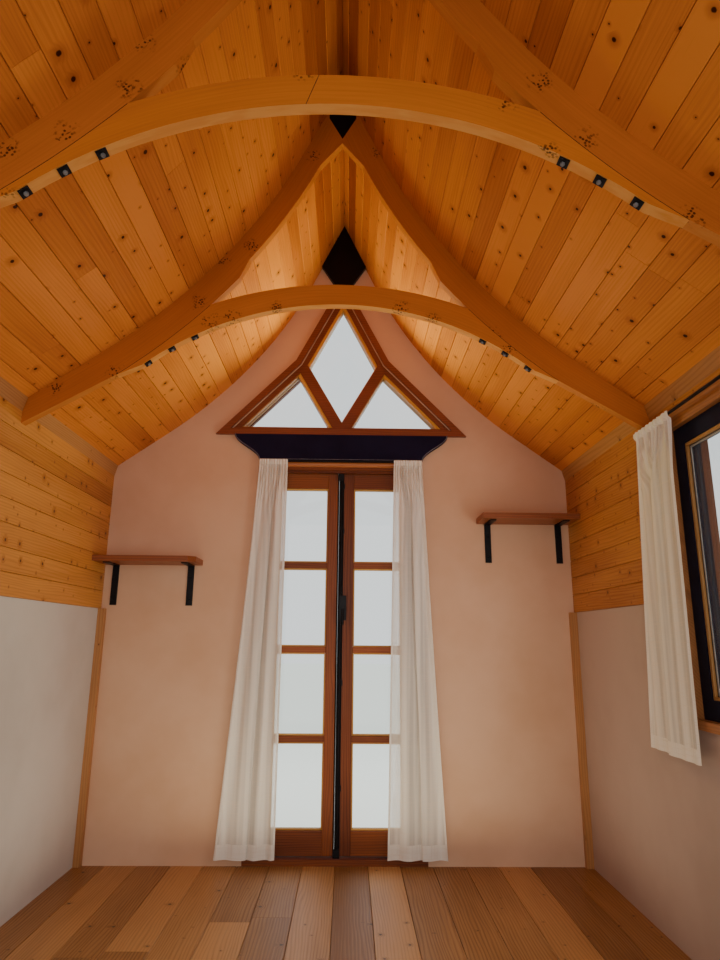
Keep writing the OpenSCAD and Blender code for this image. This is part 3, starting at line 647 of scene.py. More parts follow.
def lengths_of(rng, start, end, chance):
    """A run of boards along a row: whole, or butted here and there."""
    cuts = [start]
    if rng.random() < chance:
        cuts.append(start + (end - start) * rng.uniform(0.18, 0.82))
    return list(zip(cuts, cuts[1:] + [end]))


def vault_joints():
    """Joints between ceiling boards from the wall to the ridge, each an inner and an outer point."""
    def straight(x, a, line):
        inner = Vector((x, line(x)))
        return inner, inner + CEILING_T * Vector((math.sin(a), math.cos(a)))
    joints = []
    for i in range(LOW_BOARDS):
        x = CORE_X + (HALF_W - LOW_RUN - CORE_X) * i / LOW_BOARDS
        joints.append(straight(x, LOW_A, low_line))
    for i in range(CURVE_BOARDS):
        a = LOW_A + (TOP_A - LOW_A) * i / CURVE_BOARDS
        joints.append((on_arc(a), on_arc(a, CEILING_T)))
    width = (on_arc(LOW_A) - on_arc(LOW_A + (TOP_A - LOW_A) / CURVE_BOARDS)).length
    x = STEEP_RUN
    while x > width * math.cos(TOP_A) * 0.5:
        joints.append(straight(x, TOP_A, steep_line))
        x -= width * math.cos(TOP_A)
    joints.append((Vector((0, steep_line(0))), Vector((0, steep_line(0, CEILING_T)))))
    return joints


def grooved(p, q, r, s, settings):
    """A board's section with chamfered edges: its good side runs from p to q, its back from r to s."""
    gap, groove = settings.board_gap, settings.board_groove
    along = (q - p).normalized()
    back = (s - p).normalized()
    return [p + along * (gap + groove), q - along * (gap + groove),
            q - along * gap + (r - q).normalized() * groove, r - along * gap, s + along * gap,
            p + along * gap + back * groove]


def ceiling_side(side, settings):
    """The ceiling boards of one side; side is -1 or 1."""
    boards = Timber(11 + side)
    joints = vault_joints()
    for k, ((p, s), (q, r)) in enumerate(zip(joints, joints[1:])):
        section = grooved(p, q, r, s, settings)
        facing = Vector(((q - p).y * side, 0, -(q - p).x))
        mean = 0.30 + 0.30 * k / len(joints)
        for y1, y2 in lengths_of(boards.rng, OPEN_Y, GABLE_Y, 0.7):
            boards.lengthwise([(v.x * side, v.y) for v in section], y1, y2, settings.board_gap, facing,
                              within(0, 1, boards.rng.gauss(mean, 0.19)))
    return boards


WALL_BOARD_W = 0.080
# Mean tone of the wall boards on each side; the right side's darker mean is painted shade.
WALL_TONES_WITH_PAINTED_SHADE = {-1: 0.3, 1: 0.62}
CEILING_GAP = 0.0003
FLOOR_BOARDS = 16


def wall_rows():
    """Heights of the wall boards' joints, from the panel's top to the ceiling."""
    count = math.ceil((EAVE_Z - DADO_Z) / WALL_BOARD_W)
    return [min(DADO_Z + WALL_BOARD_W * i, EAVE_Z) for i in range(count + 1)]


def wall_side(side, settings):
    """The wall boards of one side; the right side is cut round the window."""
    boards = Timber(31 + side)
    rows = wall_rows()
    for low, high in zip(rows, rows[1:]):
        spans = [(OPEN_Y, GABLE_Y, low)]
        if side > 0 and low < SIDE_Z2:
            spans = [(OPEN_Y, SIDE_Y1, low), (SIDE_Y2, GABLE_Y, low)]
            if high > SIDE_Z2:
                spans.append((SIDE_Y1, SIDE_Y2, SIDE_Z2))
        for start, end, bottom in spans:
            for y1, y2 in lengths_of(boards.rng, start, end, 0.35 if end - start > 1 else 0):
                p, s = Vector((HALF_W, bottom)), Vector((CORE_X, bottom))
                q, r = (Vector((x, min(high, low_line(x) - CEILING_GAP))) for x in (HALF_W, CORE_X))
                section = grooved(p, q, r, s, settings)
                boards.lengthwise([(v.x * side, v.y) for v in section], y1, y2, settings.board_gap,
                                  X * -side, within(0, 1, boards.rng.gauss(WALL_TONES_WITH_PAINTED_SHADE[side], 0.16)))
    return boards


def floor_boards(settings):
    """The floor boards, which run along the house."""
    boards = Timber(51)
    width = 2 * CORE_X / FLOOR_BOARDS
    for i in range(FLOOR_BOARDS):
        x1, x2 = -CORE_X + width * i, -CORE_X + width * (i + 1)
        p, q = Vector((x1, FLOOR_Z)), Vector((x2, FLOOR_Z))
        s, r = Vector((x1, BASE_Z)), Vector((x2, BASE_Z))
        section = grooved(p, q, r, s, settings)
        for y1, y2 in lengths_of(boards.rng, OPEN_Y, GABLE_Y, 0.8):
            boards.lengthwise(section, y1, y2, settings.board_gap, Z)
    return boards


CLADDING_T = 0.016
CLADDING_W = 0.125
CLADDING_GAP = 0.0005
CLADDING_FOOT = 0.01
GABLE_CLADDING_BOARDS = 20
BATTEN_T = 0.012
BATTEN_W = 0.040
EAVE_GAP = 0.002
WINDOW_TRIM = 0.060
STAR_TRIM = 0.045
SILL_NOSE = 0.012
NARROWEST = 0.0008
SHORTEST = 0.002


def clad_side(side):
    """Upright boards with cover strips on a side wall; the right side is cut round the window."""
    boards = Timber(71 + side)
    top = low_line(OUTER_X + CLADDING_T + BATTEN_T, CEILING_T) - EAVE_GAP
    count = round((GABLE_OUT_Y + CLADDING_T - OPEN_Y) / CLADDING_W)
    width = (GABLE_OUT_Y + CLADDING_T - OPEN_Y) / count
    rows = [(OPEN_Y + width * i, OPEN_Y + width * (i + 1), OUTER_X, CLADDING_T) for i in range(count)]
    rows += [(OPEN_Y + width * i - BATTEN_W / 2, OPEN_Y + width * i + BATTEN_W / 2,
              OUTER_X + CLADDING_T, BATTEN_T) for i in range(1, count)]
    for y1, y2, x, thick in rows:
        board = (y1 + CLADDING_GAP, y2 - CLADDING_GAP, CLADDING_FOOT, top)
        for a, b, low, high in split_round_window(*board) if side > 0 else [board]:
            x1, x2 = sorted((x * side, (x + thick) * side))
            boards.box((x1, a, low), (x2, b, high), Z, X * side)
    return boards


def split_round_window(y1, y2, low, high):
    """An upright board's lengths beside and below the side window and its outer trim."""
    left, right = SIDE_Y1 - WINDOW_TRIM, SIDE_Y2 + WINDOW_TRIM
    foot = SIDE_Z1 - WINDOW_TRIM
    if y2 <= left or y1 >= right:
        return [(y1, y2, low, high)]
    spans = []
    if y1 < left:
        spans.append((y1, left, low, high))
    if y2 > right:
        spans.append((right, y2, low, high))
    inner = (max(y1, left), min(y2, right))
    if inner[1] - inner[0] > SHORTEST:
        spans.append((*inner, low, foot))
    return spans


def star_outline():
    """The star window's outline over its casing, anticlockwise."""
    kx, kz = STAR_KINK
    return [Vector((-STAR_HALF, STAR_Z)), Vector((STAR_HALF, STAR_Z)), Vector((kx, STAR_Z + kz)),
            Vector((0, STAR_Z + STAR_H)), Vector((-kx, STAR_Z + kz))]


def clad_gable():
    """Upright boards with cover strips on the gable, cut round the door and the star window."""
    boards = Timber(91)
    roof = vault_line(EAVE_X, CEILING_T - EAVE_GAP)
    star_top = star_outline()[1:4]
    trim = DOOR_HALF + WINDOW_TRIM
    width = 2 * OUTER_X / GABLE_CLADDING_BOARDS
    edges = [-OUTER_X + width * i for i in range(GABLE_CLADDING_BOARDS + 1)]
    strips = [(a, b, GABLE_OUT_Y, CLADDING_T) for a, b in zip(edges, edges[1:])]
    strips += [(e - BATTEN_W / 2, e + BATTEN_W / 2, GABLE_OUT_Y + CLADDING_T, BATTEN_T)
               for e in edges[1:-1]]
    corners = [abs(p.x) for p in roof + star_top]
    for x1, x2, y, thick in strips:
        marks = {x1 + CLADDING_GAP, x2 - CLADDING_GAP, -trim, trim, -STAR_HALF, STAR_HALF}
        marks |= {c for p in corners for c in (p, -p)}
        marks = sorted(m for m in marks if x1 < m < x2)
        tone = random.Random(round(x1 * 1000)).random()
        for a, b in zip(marks, marks[1:]):
            if b - a < NARROWEST:
                continue
            middle = abs(a + b) / 2
            bottom = DOOR_TOP + WINDOW_TRIM if middle < trim else CLADDING_FOOT
            lows = [Vector((a, bottom)), Vector((b, bottom))]
            highs = [Vector((b, height_at(roof, b))), Vector((a, height_at(roof, a)))]
            if middle < STAR_HALF:
                if STAR_Z - bottom > SHORTEST:
                    below = [*lows, Vector((b, STAR_Z)), Vector((a, STAR_Z))]
                    boards.upright(below, y, y + thick, Z, Y, tone)
                lows = [Vector((a, height_at(star_top, a))), Vector((b, height_at(star_top, b)))]
            boards.upright(lows + highs, y, y + thick, Z, Y, tone)
    return boards


def outer_trims():
    """Flat casings outside, round the door, the side window and the star window."""
    boards = Timber(111)
    y1, y2 = GABLE_OUT_Y, GABLE_OUT_Y + CLADDING_T + BATTEN_T
    reach = DOOR_HALF + WINDOW_TRIM
    for side in (-1, 1):
        a, b = sorted((DOOR_HALF * side, reach * side))
        boards.box((a, y1, CLADDING_FOOT), (b, y2, DOOR_TOP), Z, Y)
    boards.box((-reach, y1, DOOR_TOP), (reach, y2, DOOR_TOP + WINDOW_TRIM), X, Y)
    boards.ring(star_outline(), [STAR_TRIM] * 5, y1, y2)
    x1, x2 = OUTER_X, OUTER_X + CLADDING_T + BATTEN_T
    for a, b in ((SIDE_Y1 - WINDOW_TRIM, SIDE_Y1), (SIDE_Y2, SIDE_Y2 + WINDOW_TRIM)):
        boards.box((x1, a, SIDE_Z1 - WINDOW_TRIM), (x2, b, low_line(x2, CEILING_T) - EAVE_GAP), Z, X)
    boards.box((x1, SIDE_Y1, SIDE_Z1 - WINDOW_TRIM), (x2 + SILL_NOSE, SIDE_Y2, SIDE_Z1), Y, X)
    return boards


SEAM_W = 0.012
SEAM_H = 0.018
SEAM_BAYS = 6


def seam_rings(line, y):
    """A standing seam's corners: a narrow rib that follows a half outline at y."""
    rib = []
    for i, p in enumerate(line):
        before, after = line[max(i - 1, 0)], line[min(i + 1, len(line) - 1)]
        along = (after - before).normalized()
        out = Vector((-along.y, along.x))
        if out.y < 0:
            out = -out
        foot = Vector((p.x, y, p.y))
        tip = Vector((p.x + out.x * SEAM_H, y, p.y + out.y * SEAM_H))
        half = Vector((0, SEAM_W / 2, 0))
        rib.append([foot - half, foot + half, tip + half * 0.8, tip - half * 0.8])
    return rib


def roof_seams(side):
    """Standing seams of the sheet roof on one side."""
    line = [p for p in vault_line(EAVE_X, ROOF_OUT - 0.001) if p.x > 0]
    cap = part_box("ridge_cap")[1].x
    line.append(Vector((cap, steep_line(cap, ROOF_OUT))))
    bm = bmesh.new()
    first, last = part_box("left_covering")[0].y + SEAM_W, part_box("left_covering")[1].y - SEAM_W
    for k in range(SEAM_BAYS + 1):
        y = first + (last - first) * k / SEAM_BAYS
        rings = [[bm.verts.new((v.x * side, v.y, v.z)) for v in ring] for ring in seam_rings(line, y)]
        for a, b in zip(rings, rings[1:]):
            for i in range(4):
                j = (i + 1) % 4
                bm.faces.new((a[i], a[j], b[j], b[i]))
        bm.faces.new(list(reversed(rings[0])))
        bm.faces.new(rings[-1])
    bmesh.ops.recalc_face_normals(bm, faces=bm.faces)
    return mesh_of(bm, "seams", smooth=False)


# Ironwork


WASHER_W = 0.026
WASHER_T = 0.004
BOLT_PITCH = 0.080
TAIL_W = 0.086
TAIL_D = 0.102
BOLT_IN = 0.018
BOLT_HEAD = [(0.0055, 0), (0.0055, 0.0045), (0.0050, 0.0056), (0.0045, 0.006), (0.0028, 0.0053),
             (0, 0.0053)]
PEAK_SCREW_DROP = 0.105
ARCH_SWELL = 0.180
SCARF_STEPS = 60
JOINT_PROUD = 0.0003
BUTT_TOP_X = -0.038
BUTT_FOOT_X = -0.066


def washers():
    """Square washers under the arches, laid against the curve."""
    boards = Timber(131)
    half = WASHER_W / 2
    for centre, down, along in bolt_places():
        base = [centre + along * a * half + Y * b * half for a, b in ((-1, -1), (1, -1), (1, 1), (-1, 1))]
        boards.solid(base, down * WASHER_T, along, down)
    return boards


def bolt_places():
    """Each arch bolt: the middle of its washer's back, the way it points and the way along the arch."""
    back_r = math.sqrt(ARCH_R ** 2 - (WASHER_W / 2) ** 2) - 0.00015
    first_x = on_arc(LOW_A, -TAIL_D).x - TAIL_W - BOLT_IN
    found = []
    for y in TRUSS_FRONTS:
        for k in range(3):
            turn = math.asin((first_x - k * BOLT_PITCH) / ARCH_R)
            for side in (-1, 1):
                out = Vector((side * math.sin(turn), 0, math.cos(turn)))
                point = Vector((0, y + TRUSS_T / 2, ARCH_Z)) + out * back_r
                found.append((point, -out, Vector((math.cos(turn), 0, -side * math.sin(turn)))))
    return found


def face_line(lines, points, y, width=0.0014):
    """A thin dark joint along points on a truss's face at y, a hair proud of it."""
    for p, q in zip(points, points[1:]):
        along = (q - p).normalized() * 0.0002
        across = Vector((-along.y, along.x)).normalized() * width / 2
        strip = [p - along - across, q + along - across, q + along + across, p - along + across]
        lines.upright(strip, y - JOINT_PROUD, y + JOINT_PROUD, Vector((along.x, 0, along.y)))


def truss_joints():
    """The scarf between rafter and arch on each side, and the slanted butt near the near arch's crown."""
    lines = Timber(137)
    top_r = ARCH_R + ARCH_SWELL
    top_z = ARCH_Z + ARCH_R + CROWN_D - top_r
    scarf = []
    for k in range(SCARF_STEPS):
        p = on_arc(LOW_A + (TOP_A - LOW_A) * k / SCARF_STEPS / 2, -TAIL_D)
        if math.hypot(p.x, p.y - top_z) > top_r:
            break
        scarf.append(p)
    for y in TRUSS_FRONTS:
        for face in (y, y + TRUSS_T):
            face_line(lines, scarf, face)
            face_line(lines, [Vector((-p.x, p.y)) for p in scarf], face)
        if y < 0:
            high = Vector((BUTT_TOP_X, top_z + math.sqrt(top_r ** 2 - BUTT_TOP_X ** 2)))
            low = Vector((BUTT_FOOT_X, ARCH_Z + math.sqrt(ARCH_R ** 2 - BUTT_FOOT_X ** 2)))
            face_line(lines, [high, low], y)
    return lines


def screw_head(radius):
    """A pan head with a turned recess."""
    return [(radius, 0), (radius, radius * 0.25), (radius * 0.8, radius * 0.5),
            (radius * 0.42, radius * 0.62), (radius * 0.36, radius * 0.3), (0, radius * 0.3)]


# Star window


STAR_CASING_W = 0.030
STAR_FRAME_W = 0.028
STAR_SILL_W = 0.012
STAR_BAR_W = 0.052
THIN_BEAD = 0.004
INNER_BEAD = 0.015
OUTER_BEAD = 0.014
PANE_GAP = 0.0003
HIGHLIGHT_LINE_W = 0.0035


def star_lights():
    """The star window's three panes as anticlockwise outlines: the diamond, then the right triangle."""
    hole = inset(star_outline(), [STAR_CASING_W] * 5)
    light = inset(hole, [STAR_SILL_W] + [STAR_FRAME_W] * 4)
    foot = Vector((0, STAR_Z + STAR_CASING_W / 2))
    bar = (hole[2] - foot).normalized()
    edge = STAR_BAR_W / 2 * Vector((-bar.y, bar.x))
    side = crossing(foot + edge, bar, light[3], light[2] - light[3])
    bottom = Vector((0, foot.y + STAR_BAR_W / 2 / bar.x))
    diamond = [bottom, side, light[3], Vector((-side.x, side.y))]
    inner = crossing(foot - edge, bar, light[0], light[1] - light[0])
    upper = crossing(foot - edge, bar, light[1], light[2] - light[1])
    return diamond, [inner, light[1], upper]


def flipped(outline):
    """The outline's mirror image, anticlockwise again."""
    return [Vector((-p.x, p.y)) for p in reversed(outline)]


def star_beads():
    """Golden beads before the panes: deep ones along the slanted sides, thin ones along the bars."""
    beads = Timber(171)
    glass_in, glass_out = (corner.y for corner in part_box("star_glass"))
    frame_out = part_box("star_frame")[1].y
    diamond, triangle = star_lights()
    for y1, y2, wide in ((GABLE_Y + 0.006, glass_in - PANE_GAP, INNER_BEAD),
                         (glass_out + PANE_GAP, frame_out - 0.001, OUTER_BEAD)):
        beads.ring(diamond, [THIN_BEAD, wide, wide, THIN_BEAD], y1, y2)
        beads.ring(triangle, [THIN_BEAD, wide, THIN_BEAD], y1, y2)
        beads.ring(flipped(triangle), [THIN_BEAD, THIN_BEAD, wide], y1, y2)
    return beads


def star_highlight_line():
    """A painted highlight: a thin pale line between the casing and the frame, along the four slanted
    sides.
    """
    line = Timber(173)
    hole = inset(star_outline(), [STAR_CASING_W] * 5)
    line.ring(hole, [HIGHLIGHT_LINE_W] * 5, GABLE_Y - 0.0045, GABLE_Y - 0.0002, edges=(1, 2, 3, 4))
    return line


OGEE_STEPS = 12
HEADER_LINE_IN = 0.003
HEADER_LINE_W = 0.0022


def header_line():
    """The thin pale line along the header board's ogee ends and foot."""
    low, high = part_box("header_board")
    line = Timber(175)
    end = []
    for i in range(OGEE_STEPS + 1):
        x = DOOR_HALF + (high.x - DOOR_HALF) * (1 - math.cos(math.pi * i / OGEE_STEPS)) / 2
        end.append(Vector((x, low.z + (high.z - low.z) * i / OGEE_STEPS)))
    foot_z = low.z + HEADER_LINE_IN
    end[0] = Vector((DOOR_HALF, foot_z))
    y1, y2 = low.y - 0.0012, low.y + 0.0005
    for p, q in zip(end, end[1:]):
        along = (q - p).normalized()
        inward = Vector((-along.y, along.x))
        near, far = inward * HEADER_LINE_IN, inward * (HEADER_LINE_IN + HEADER_LINE_W)
        for side in (-1, 1):
            strip = [(v.x * side, v.y) for v in (p + near, q + near, q + far, p + far)]
            line.upright(strip, y1, y2, Vector((along.x, 0, along.y)))
    line.box((-DOOR_HALF, y1, foot_z), (DOOR_HALF, y2, foot_z + HEADER_LINE_W * 0.7), X, -Y)
    return line


# Joinery


JAMB_W = 0.045
HEAD_H = 0.058
SILL_H = 0.025
STOP_W = 0.012
STOP_T = 0.020
STOP_BACK = 0.025
LEAF_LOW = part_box("right_leaf")[0].z
LEAF_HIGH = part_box("right_leaf")[1].z
LEAF_IN_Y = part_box("left_leaf_glass")[0].y - 0.0185
LEAF_OUT_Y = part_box("left_leaf_glass")[1].y + 0.0185
LEAF_GLASS = {side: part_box(f"{side}_leaf_glass") for side in ("left", "right")}
PANE_ROWS = 4
PANE_BAR_H = 0.028
PANE_BAR_BACK = 0.004
PANE_BEAD_W = 0.007
PANE_BEAD_T = 0.009
# X of each leaf's outer edge and of its meeting edge on the inner and on the outer face
LEAF_EDGES = {"left": (-0.350, -0.0135, -0.0105), "right": (0.350, -0.0005, -0.0035)}
SEAL_X = {"left": (-0.0108, -0.0076), "right": (-0.0068, -0.0032)}
BOLT_SHADOW_STRIP_X = (-0.0024, 0.0175)
KEEPER_X = (-0.012, 0.017)
KEEPER_Y = (LEAF_IN_Y - 0.0185, LEAF_IN_Y - 0.0155)
MOULDING_H = 0.028
MOULDING_T = 0.012
MOULDING_STEPS = 12
HINGE_HEIGHTS = [LEAF_LOW + (LEAF_HIGH - LEAF_LOW) * share for share in (0.1, 0.5, 0.88)]
HINGE_H = 0.042
HINGE_R = 0.007
HINGE_OUT = 0.008
FLAP_W = 0.030
FLAP_T = 0.003


def leaf_timber(side):
    """A leaf's stiles, rails and glazing bars."""
    boards = Timber(151 if side == "left" else 153)
    glass_low, glass_high = LEAF_GLASS[side]
    outer, meet_in, meet_out = LEAF_EDGES[side]
    low, high = LEAF_LOW, LEAF_HIGH
    inner_x, outer_x = sorted((glass_low.x, glass_high.x), key=abs)
    y1, y2 = LEAF_IN_Y, LEAF_OUT_Y
    meeting = [Vector((meet_in, y1, low)), Vector((meet_out, y2, low)),
               Vector((inner_x, y2, low)), Vector((inner_x, y1, low))]
    boards.solid(meeting, Vector((0, 0, high - low)), Z, -Y)
    a, b = sorted((outer, outer_x))
    boards.box((a, y1, low), (b, y2, high), Z, -Y)
    a, b = sorted((inner_x, outer_x))
    boards.box((a, y1, low), (b, y2, glass_low.z), X, -Y)
    boards.box((a, y1, glass_high.z), (b, y2, high), X, -Y)
    for _, z, _, _ in pane_boxes(side)[1:]:
        boards.box((a, y1 + PANE_BAR_BACK, z - PANE_BAR_H), (b, y2 - PANE_BAR_BACK, z), X, -Y)
    return boards


def pane_boxes(side):
    """The four panes of a leaf as x1, z1, x2, z2."""
    low, high = LEAF_GLASS[side]
    pane_h = (high.z - low.z - (PANE_ROWS - 1) * PANE_BAR_H) / PANE_ROWS
    pitch = pane_h + PANE_BAR_H
    return [(low.x, low.z + pitch * i, high.x, low.z + pitch * i + pane_h) for i in range(PANE_ROWS)]


def rectangle(x1, z1, x2, z2):
    """An anticlockwise outline."""
    return [Vector((x1, z1)), Vector((x2, z1)), Vector((x2, z2)), Vector((x1, z2))]


def pane_beads(side):
    """Thin glazing beads round a leaf's panes, inside and outside."""
    beads = Timber(155 if side == "left" else 157)
    low, high = LEAF_GLASS[side]
    for pane in pane_boxes(side):
        for y1, y2 in ((low.y - PANE_BEAD_T, low.y), (high.y, high.y + PANE_BEAD_T)):
            beads.ring(rectangle(*pane), [PANE_BEAD_W] * 4, y1, y2)
    return beads


def frame_timber():
    """The door frame: jambs, head, threshold and stops."""
    boards = Timber(161)
    low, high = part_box("door_frame")
    y1, y2 = low.y, LEAF_OUT_Y
    clear = DOOR_HALF - JAMB_W
    head = DOOR_TOP - HEAD_H
    sill = FLOOR_Z + SILL_H
    stop_x, stop_y = clear - STOP_W, LEAF_IN_Y - STOP_BACK
    for side in (-1, 1):
        a, b = sorted((clear * side, DOOR_HALF * side))
        boards.box((a, y1, sill), (b, y2, DOOR_TOP), Z, -Y)
        a, b = sorted((stop_x * side, clear * side))
        boards.box((a, stop_y, sill), (b, stop_y + STOP_T, head), Z, -Y)
    boards.box((-clear, y1, head), (clear, y2, DOOR_TOP), X, -Y)
    boards.box((-stop_x, stop_y, head - STOP_W), (stop_x, stop_y + STOP_T, head), X, -Y)
    boards.box((low.x, low.y, low.z), (high.x, high.y, sill), X, Z)
    return boards


def head_moulding():
    """A half-round moulding across the door frame's head, under the header board."""
    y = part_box("door_frame")[0].y
    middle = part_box("header_board")[0].z - 0.002 - MOULDING_H / 2
    bm = bmesh.new()
    turns = [math.pi * k / MOULDING_STEPS for k in range(MOULDING_STEPS + 1)]
    section = [(y - MOULDING_T * math.sin(a), middle + MOULDING_H / 2 * math.cos(a)) for a in turns]
    left, right = ([bm.verts.new((x, *point)) for point in section]
                   for x in (-DOOR_HALF + 0.001, DOOR_HALF - 0.001))
    for k in range(MOULDING_STEPS):
        bm.faces.new((left[k], left[k + 1], right[k + 1], right[k]))
    bm.faces.new((left[-1], left[0], right[0], right[-1]))
    bm.faces.new(list(reversed(left)))
    bm.faces.new(right)
    bmesh.ops.recalc_face_normals(bm, faces=bm.faces)
    return mesh_of(bm, "moulding")


def meeting_seal(side):
    """The dark lip on a leaf's meeting edge; the two lips close the gap but for 0.8 mm."""
    low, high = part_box(f"{side}_leaf")
    y1, y2 = LEAF_OUT_Y - 0.009, LEAF_OUT_Y - 0.001
    x1, x2 = SEAL_X[side]
    seal = Timber(163)
    seal.box((x1, y1, low.z + 0.002), (x2, y2, high.z - 0.002), Z, -Y)
    return seal


def bolt_shadow_strip():
    """A painted shadow: a thin dark strip on the leaf behind the bolt's rod, reaching past the rod on its
    shaded side.
    """
    low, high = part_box("door_bolt")
    x1, x2 = BOLT_SHADOW_STRIP_X
    strip = Timber(164)
    strip.box((x1, LEAF_IN_Y - 0.0008, low.z + 0.01), (x2, LEAF_IN_Y + 0.0004, high.z - 0.01), Z, -Y)
    return strip


def bolt_keepers():
    """The catches on the head's stop and the threshold, in front of the rod's two ends."""
    low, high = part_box("left_leaf")
    (x1, x2), (y1, y2) = KEEPER_X, KEEPER_Y
    keepers = Timber(165)
    for z1, z2 in ((high.z - 0.045, high.z - 0.0085), (low.z - 0.003, low.z + 0.033)):
        keepers.box((x1, y1, z1), (x2, y2, z2), Z, -Y)
    return keepers


def hinges(on_leaf):
    """Lift-off hinge halves at both sides: knuckle, pin and flap."""
    x, y = DOOR_HALF - JAMB_W - 0.0025, LEAF_OUT_Y + HINGE_OUT
    far_x = x - FLAP_W if on_leaf else x + FLAP_W
    ease = 0.0015
    profile = [(HINGE_R - ease, 0), (HINGE_R, ease), (HINGE_R, HINGE_H - ease), (HINGE_R - ease, HINGE_H)]
    items, flaps = [], []
    for side in (-1, 1):
        x1, x2 = sorted((x * side, far_x * side))
        for z in HINGE_HEIGHTS:
            base = Vector((x * side, y, z + 0.0003 if on_leaf else z - HINGE_H))
            items.append((side, (profile, base, Z, 24)))
            flaps.append((side, ((x1, LEAF_OUT_Y, base.z), (x2, LEAF_OUT_Y + FLAP_T, base.z + HINGE_H))))
    return items, flaps


def hinge_piece(name, material, body, items, flaps):
    """Knuckles and flaps of hinge halves on one body as one piece."""
    bm = bmesh.new()
    for profile, base, axis, sides in items:
        lathe(bm, profile, base, axis, sides)
    for low, high in flaps:
        made = bmesh.ops.create_cube(bm, size=1)
        middle = (Vector(low) + Vector(high)) / 2
        size = Vector(high) - Vector(low)
        for v in made["verts"]:
            v.co = Vector(a * b for a, b in zip(v.co, size)) + middle
        bmesh.ops.bevel(bm, geom=list({e for v in made["verts"] for e in v.link_edges}),
                        offset=0.0006, segments=1, affect="EDGES")
        for dx in (0.3, 0.7):
            for dz in (0.25, 0.75):
                seat = Vector((low[0] + size.x * dx, high[1], low[2] + size.z * dz))
                lathe(bm, screw_head(0.0032), seat, Y, 12)
    return finished(mesh_of(bm, name), name, material, body)


# The side window's beads, seal and spacer strip: distance from the light's edge, width, depth, seed
SIDE_STICKS = ((0, 0.010, 0.012, 181), (0.010, 0.002, 0.003, 183), (0.012, 0.006, 0.002, 185))


def side_beads():
    """Golden beads inside the side window's frame, the dark seal at the pane and its spacer strip."""
    low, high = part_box("side_window_glass")
    light = rectangle(low.y, low.z, high.y, high.z)
    found = []
    for inner, width, deep, seed in SIDE_STICKS:
        sticks = Timber(seed)
        outline = inset(light, [inner] * 4) if inner else light
        sticks.ring(outline, [width] * 4, low.x - deep, low.x - PANE_GAP, side_wall=True)
        found.append(sticks)
    return found


LEFT_SHELF_Z = FLOOR_Z + 1.276
RIGHT_SHELF_Z = FLOOR_Z + 1.488
BRACKET_IN = 0.052
BRACKET_T = 0.005
BRACKET_SCREW_DROPS = (0.060, 0.160)


def bracket_screws():
    """Two screws in each bracket's leg."""
    items = []
    left, right = (corner.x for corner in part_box("shelves"))
    for x, top in ((left + BRACKET_IN, LEFT_SHELF_Z), (left + 0.403, LEFT_SHELF_Z),
                   (right - 0.392, RIGHT_SHELF_Z), (right - BRACKET_IN, RIGHT_SHELF_Z)):
        for drop in BRACKET_SCREW_DROPS:
            seat = Vector((x, GABLE_Y - BRACKET_T, top - drop))
            items.append((screw_head(0.005), seat, -Y, 14))
    return items


# Curtains


def cloth_grid(name, rows, columns, shape, hems):
    """A sheet from shape(u, v), with its flat place as an attribute and its hems marked."""
    points = [[shape(i / (columns - 1), k / (rows - 1)) for i in range(columns)] for k in range(rows)]
    faces = [(k * columns + i, k * columns + i + 1, (k + 1) * columns + i + 1, (k + 1) * columns + i)
             for k in range(rows - 1) for i in range(columns - 1)]
    mesh = bpy.data.meshes.new(name)
    mesh.from_pydata([p for row in points for p in row], [], faces)
    heights = [0.0]
    for low, high in zip(points, points[1:]):
        heights.append(heights[-1] + (high[0] - low[0]).length)
    flat, hem = [], []
    for k, row in enumerate(points):
        widths = [0.0]
        for p, q in zip(row, row[1:]):
            widths.append(widths[-1] + (q - p).length)
        for width in widths:
            flat += [width, heights[k], 0]
            at_hem = (heights[k] < hems["foot"] or heights[-1] - heights[k] < hems["top"]
                      or min(width, widths[-1] - width) < hems["side"])
            hem.append(0.95 if at_hem else 0.0)
    mesh.attributes.new("cloth", "FLOAT_VECTOR", "POINT").data.foreach_set("vector", flat)
    mesh.attributes.new("hem", "FLOAT", "POINT").data.foreach_set("value", hem)
    mesh.shade_smooth()
    return mesh, sum(p.area for p in mesh.polygons), heights[-1]


def eased(t):
    """0 to 1 with soft ends."""
    t = within(0, 1, t)
    return t * t * (3 - 2 * t)


def fold_line(folds, u):
    """A smooth line through (share of the width, depth) pairs, at u from 0 to 1."""
    spot = u * (len(folds) - 1)
    i = min(int(spot), len(folds) - 2)
    t = spot - i
    p, q, r, s = (folds[min(max(i + k, 0), len(folds) - 1)] for k in (-1, 0, 1, 2))
    return [0.5 * (2 * b + (c - a) * t + (2 * a - 5 * b + 4 * c - d) * t * t
                   + (3 * b - a - 3 * c + d) * t ** 3) for a, b, c, d in zip(p, q, r, s)]


def smooth_noise(rng, count):
    """A smooth random function of one value from 0 to 1, about -1 to 1."""
    waves = [(rng.uniform(0.5, count), rng.uniform(0, 2 * math.pi), rng.uniform(0.4, 1))
             for _ in range(4)]
    total = sum(w[2] for w in waves)
    return lambda t: sum(a * math.sin(2 * math.pi * f * t + p) for f, p, a in waves) / total


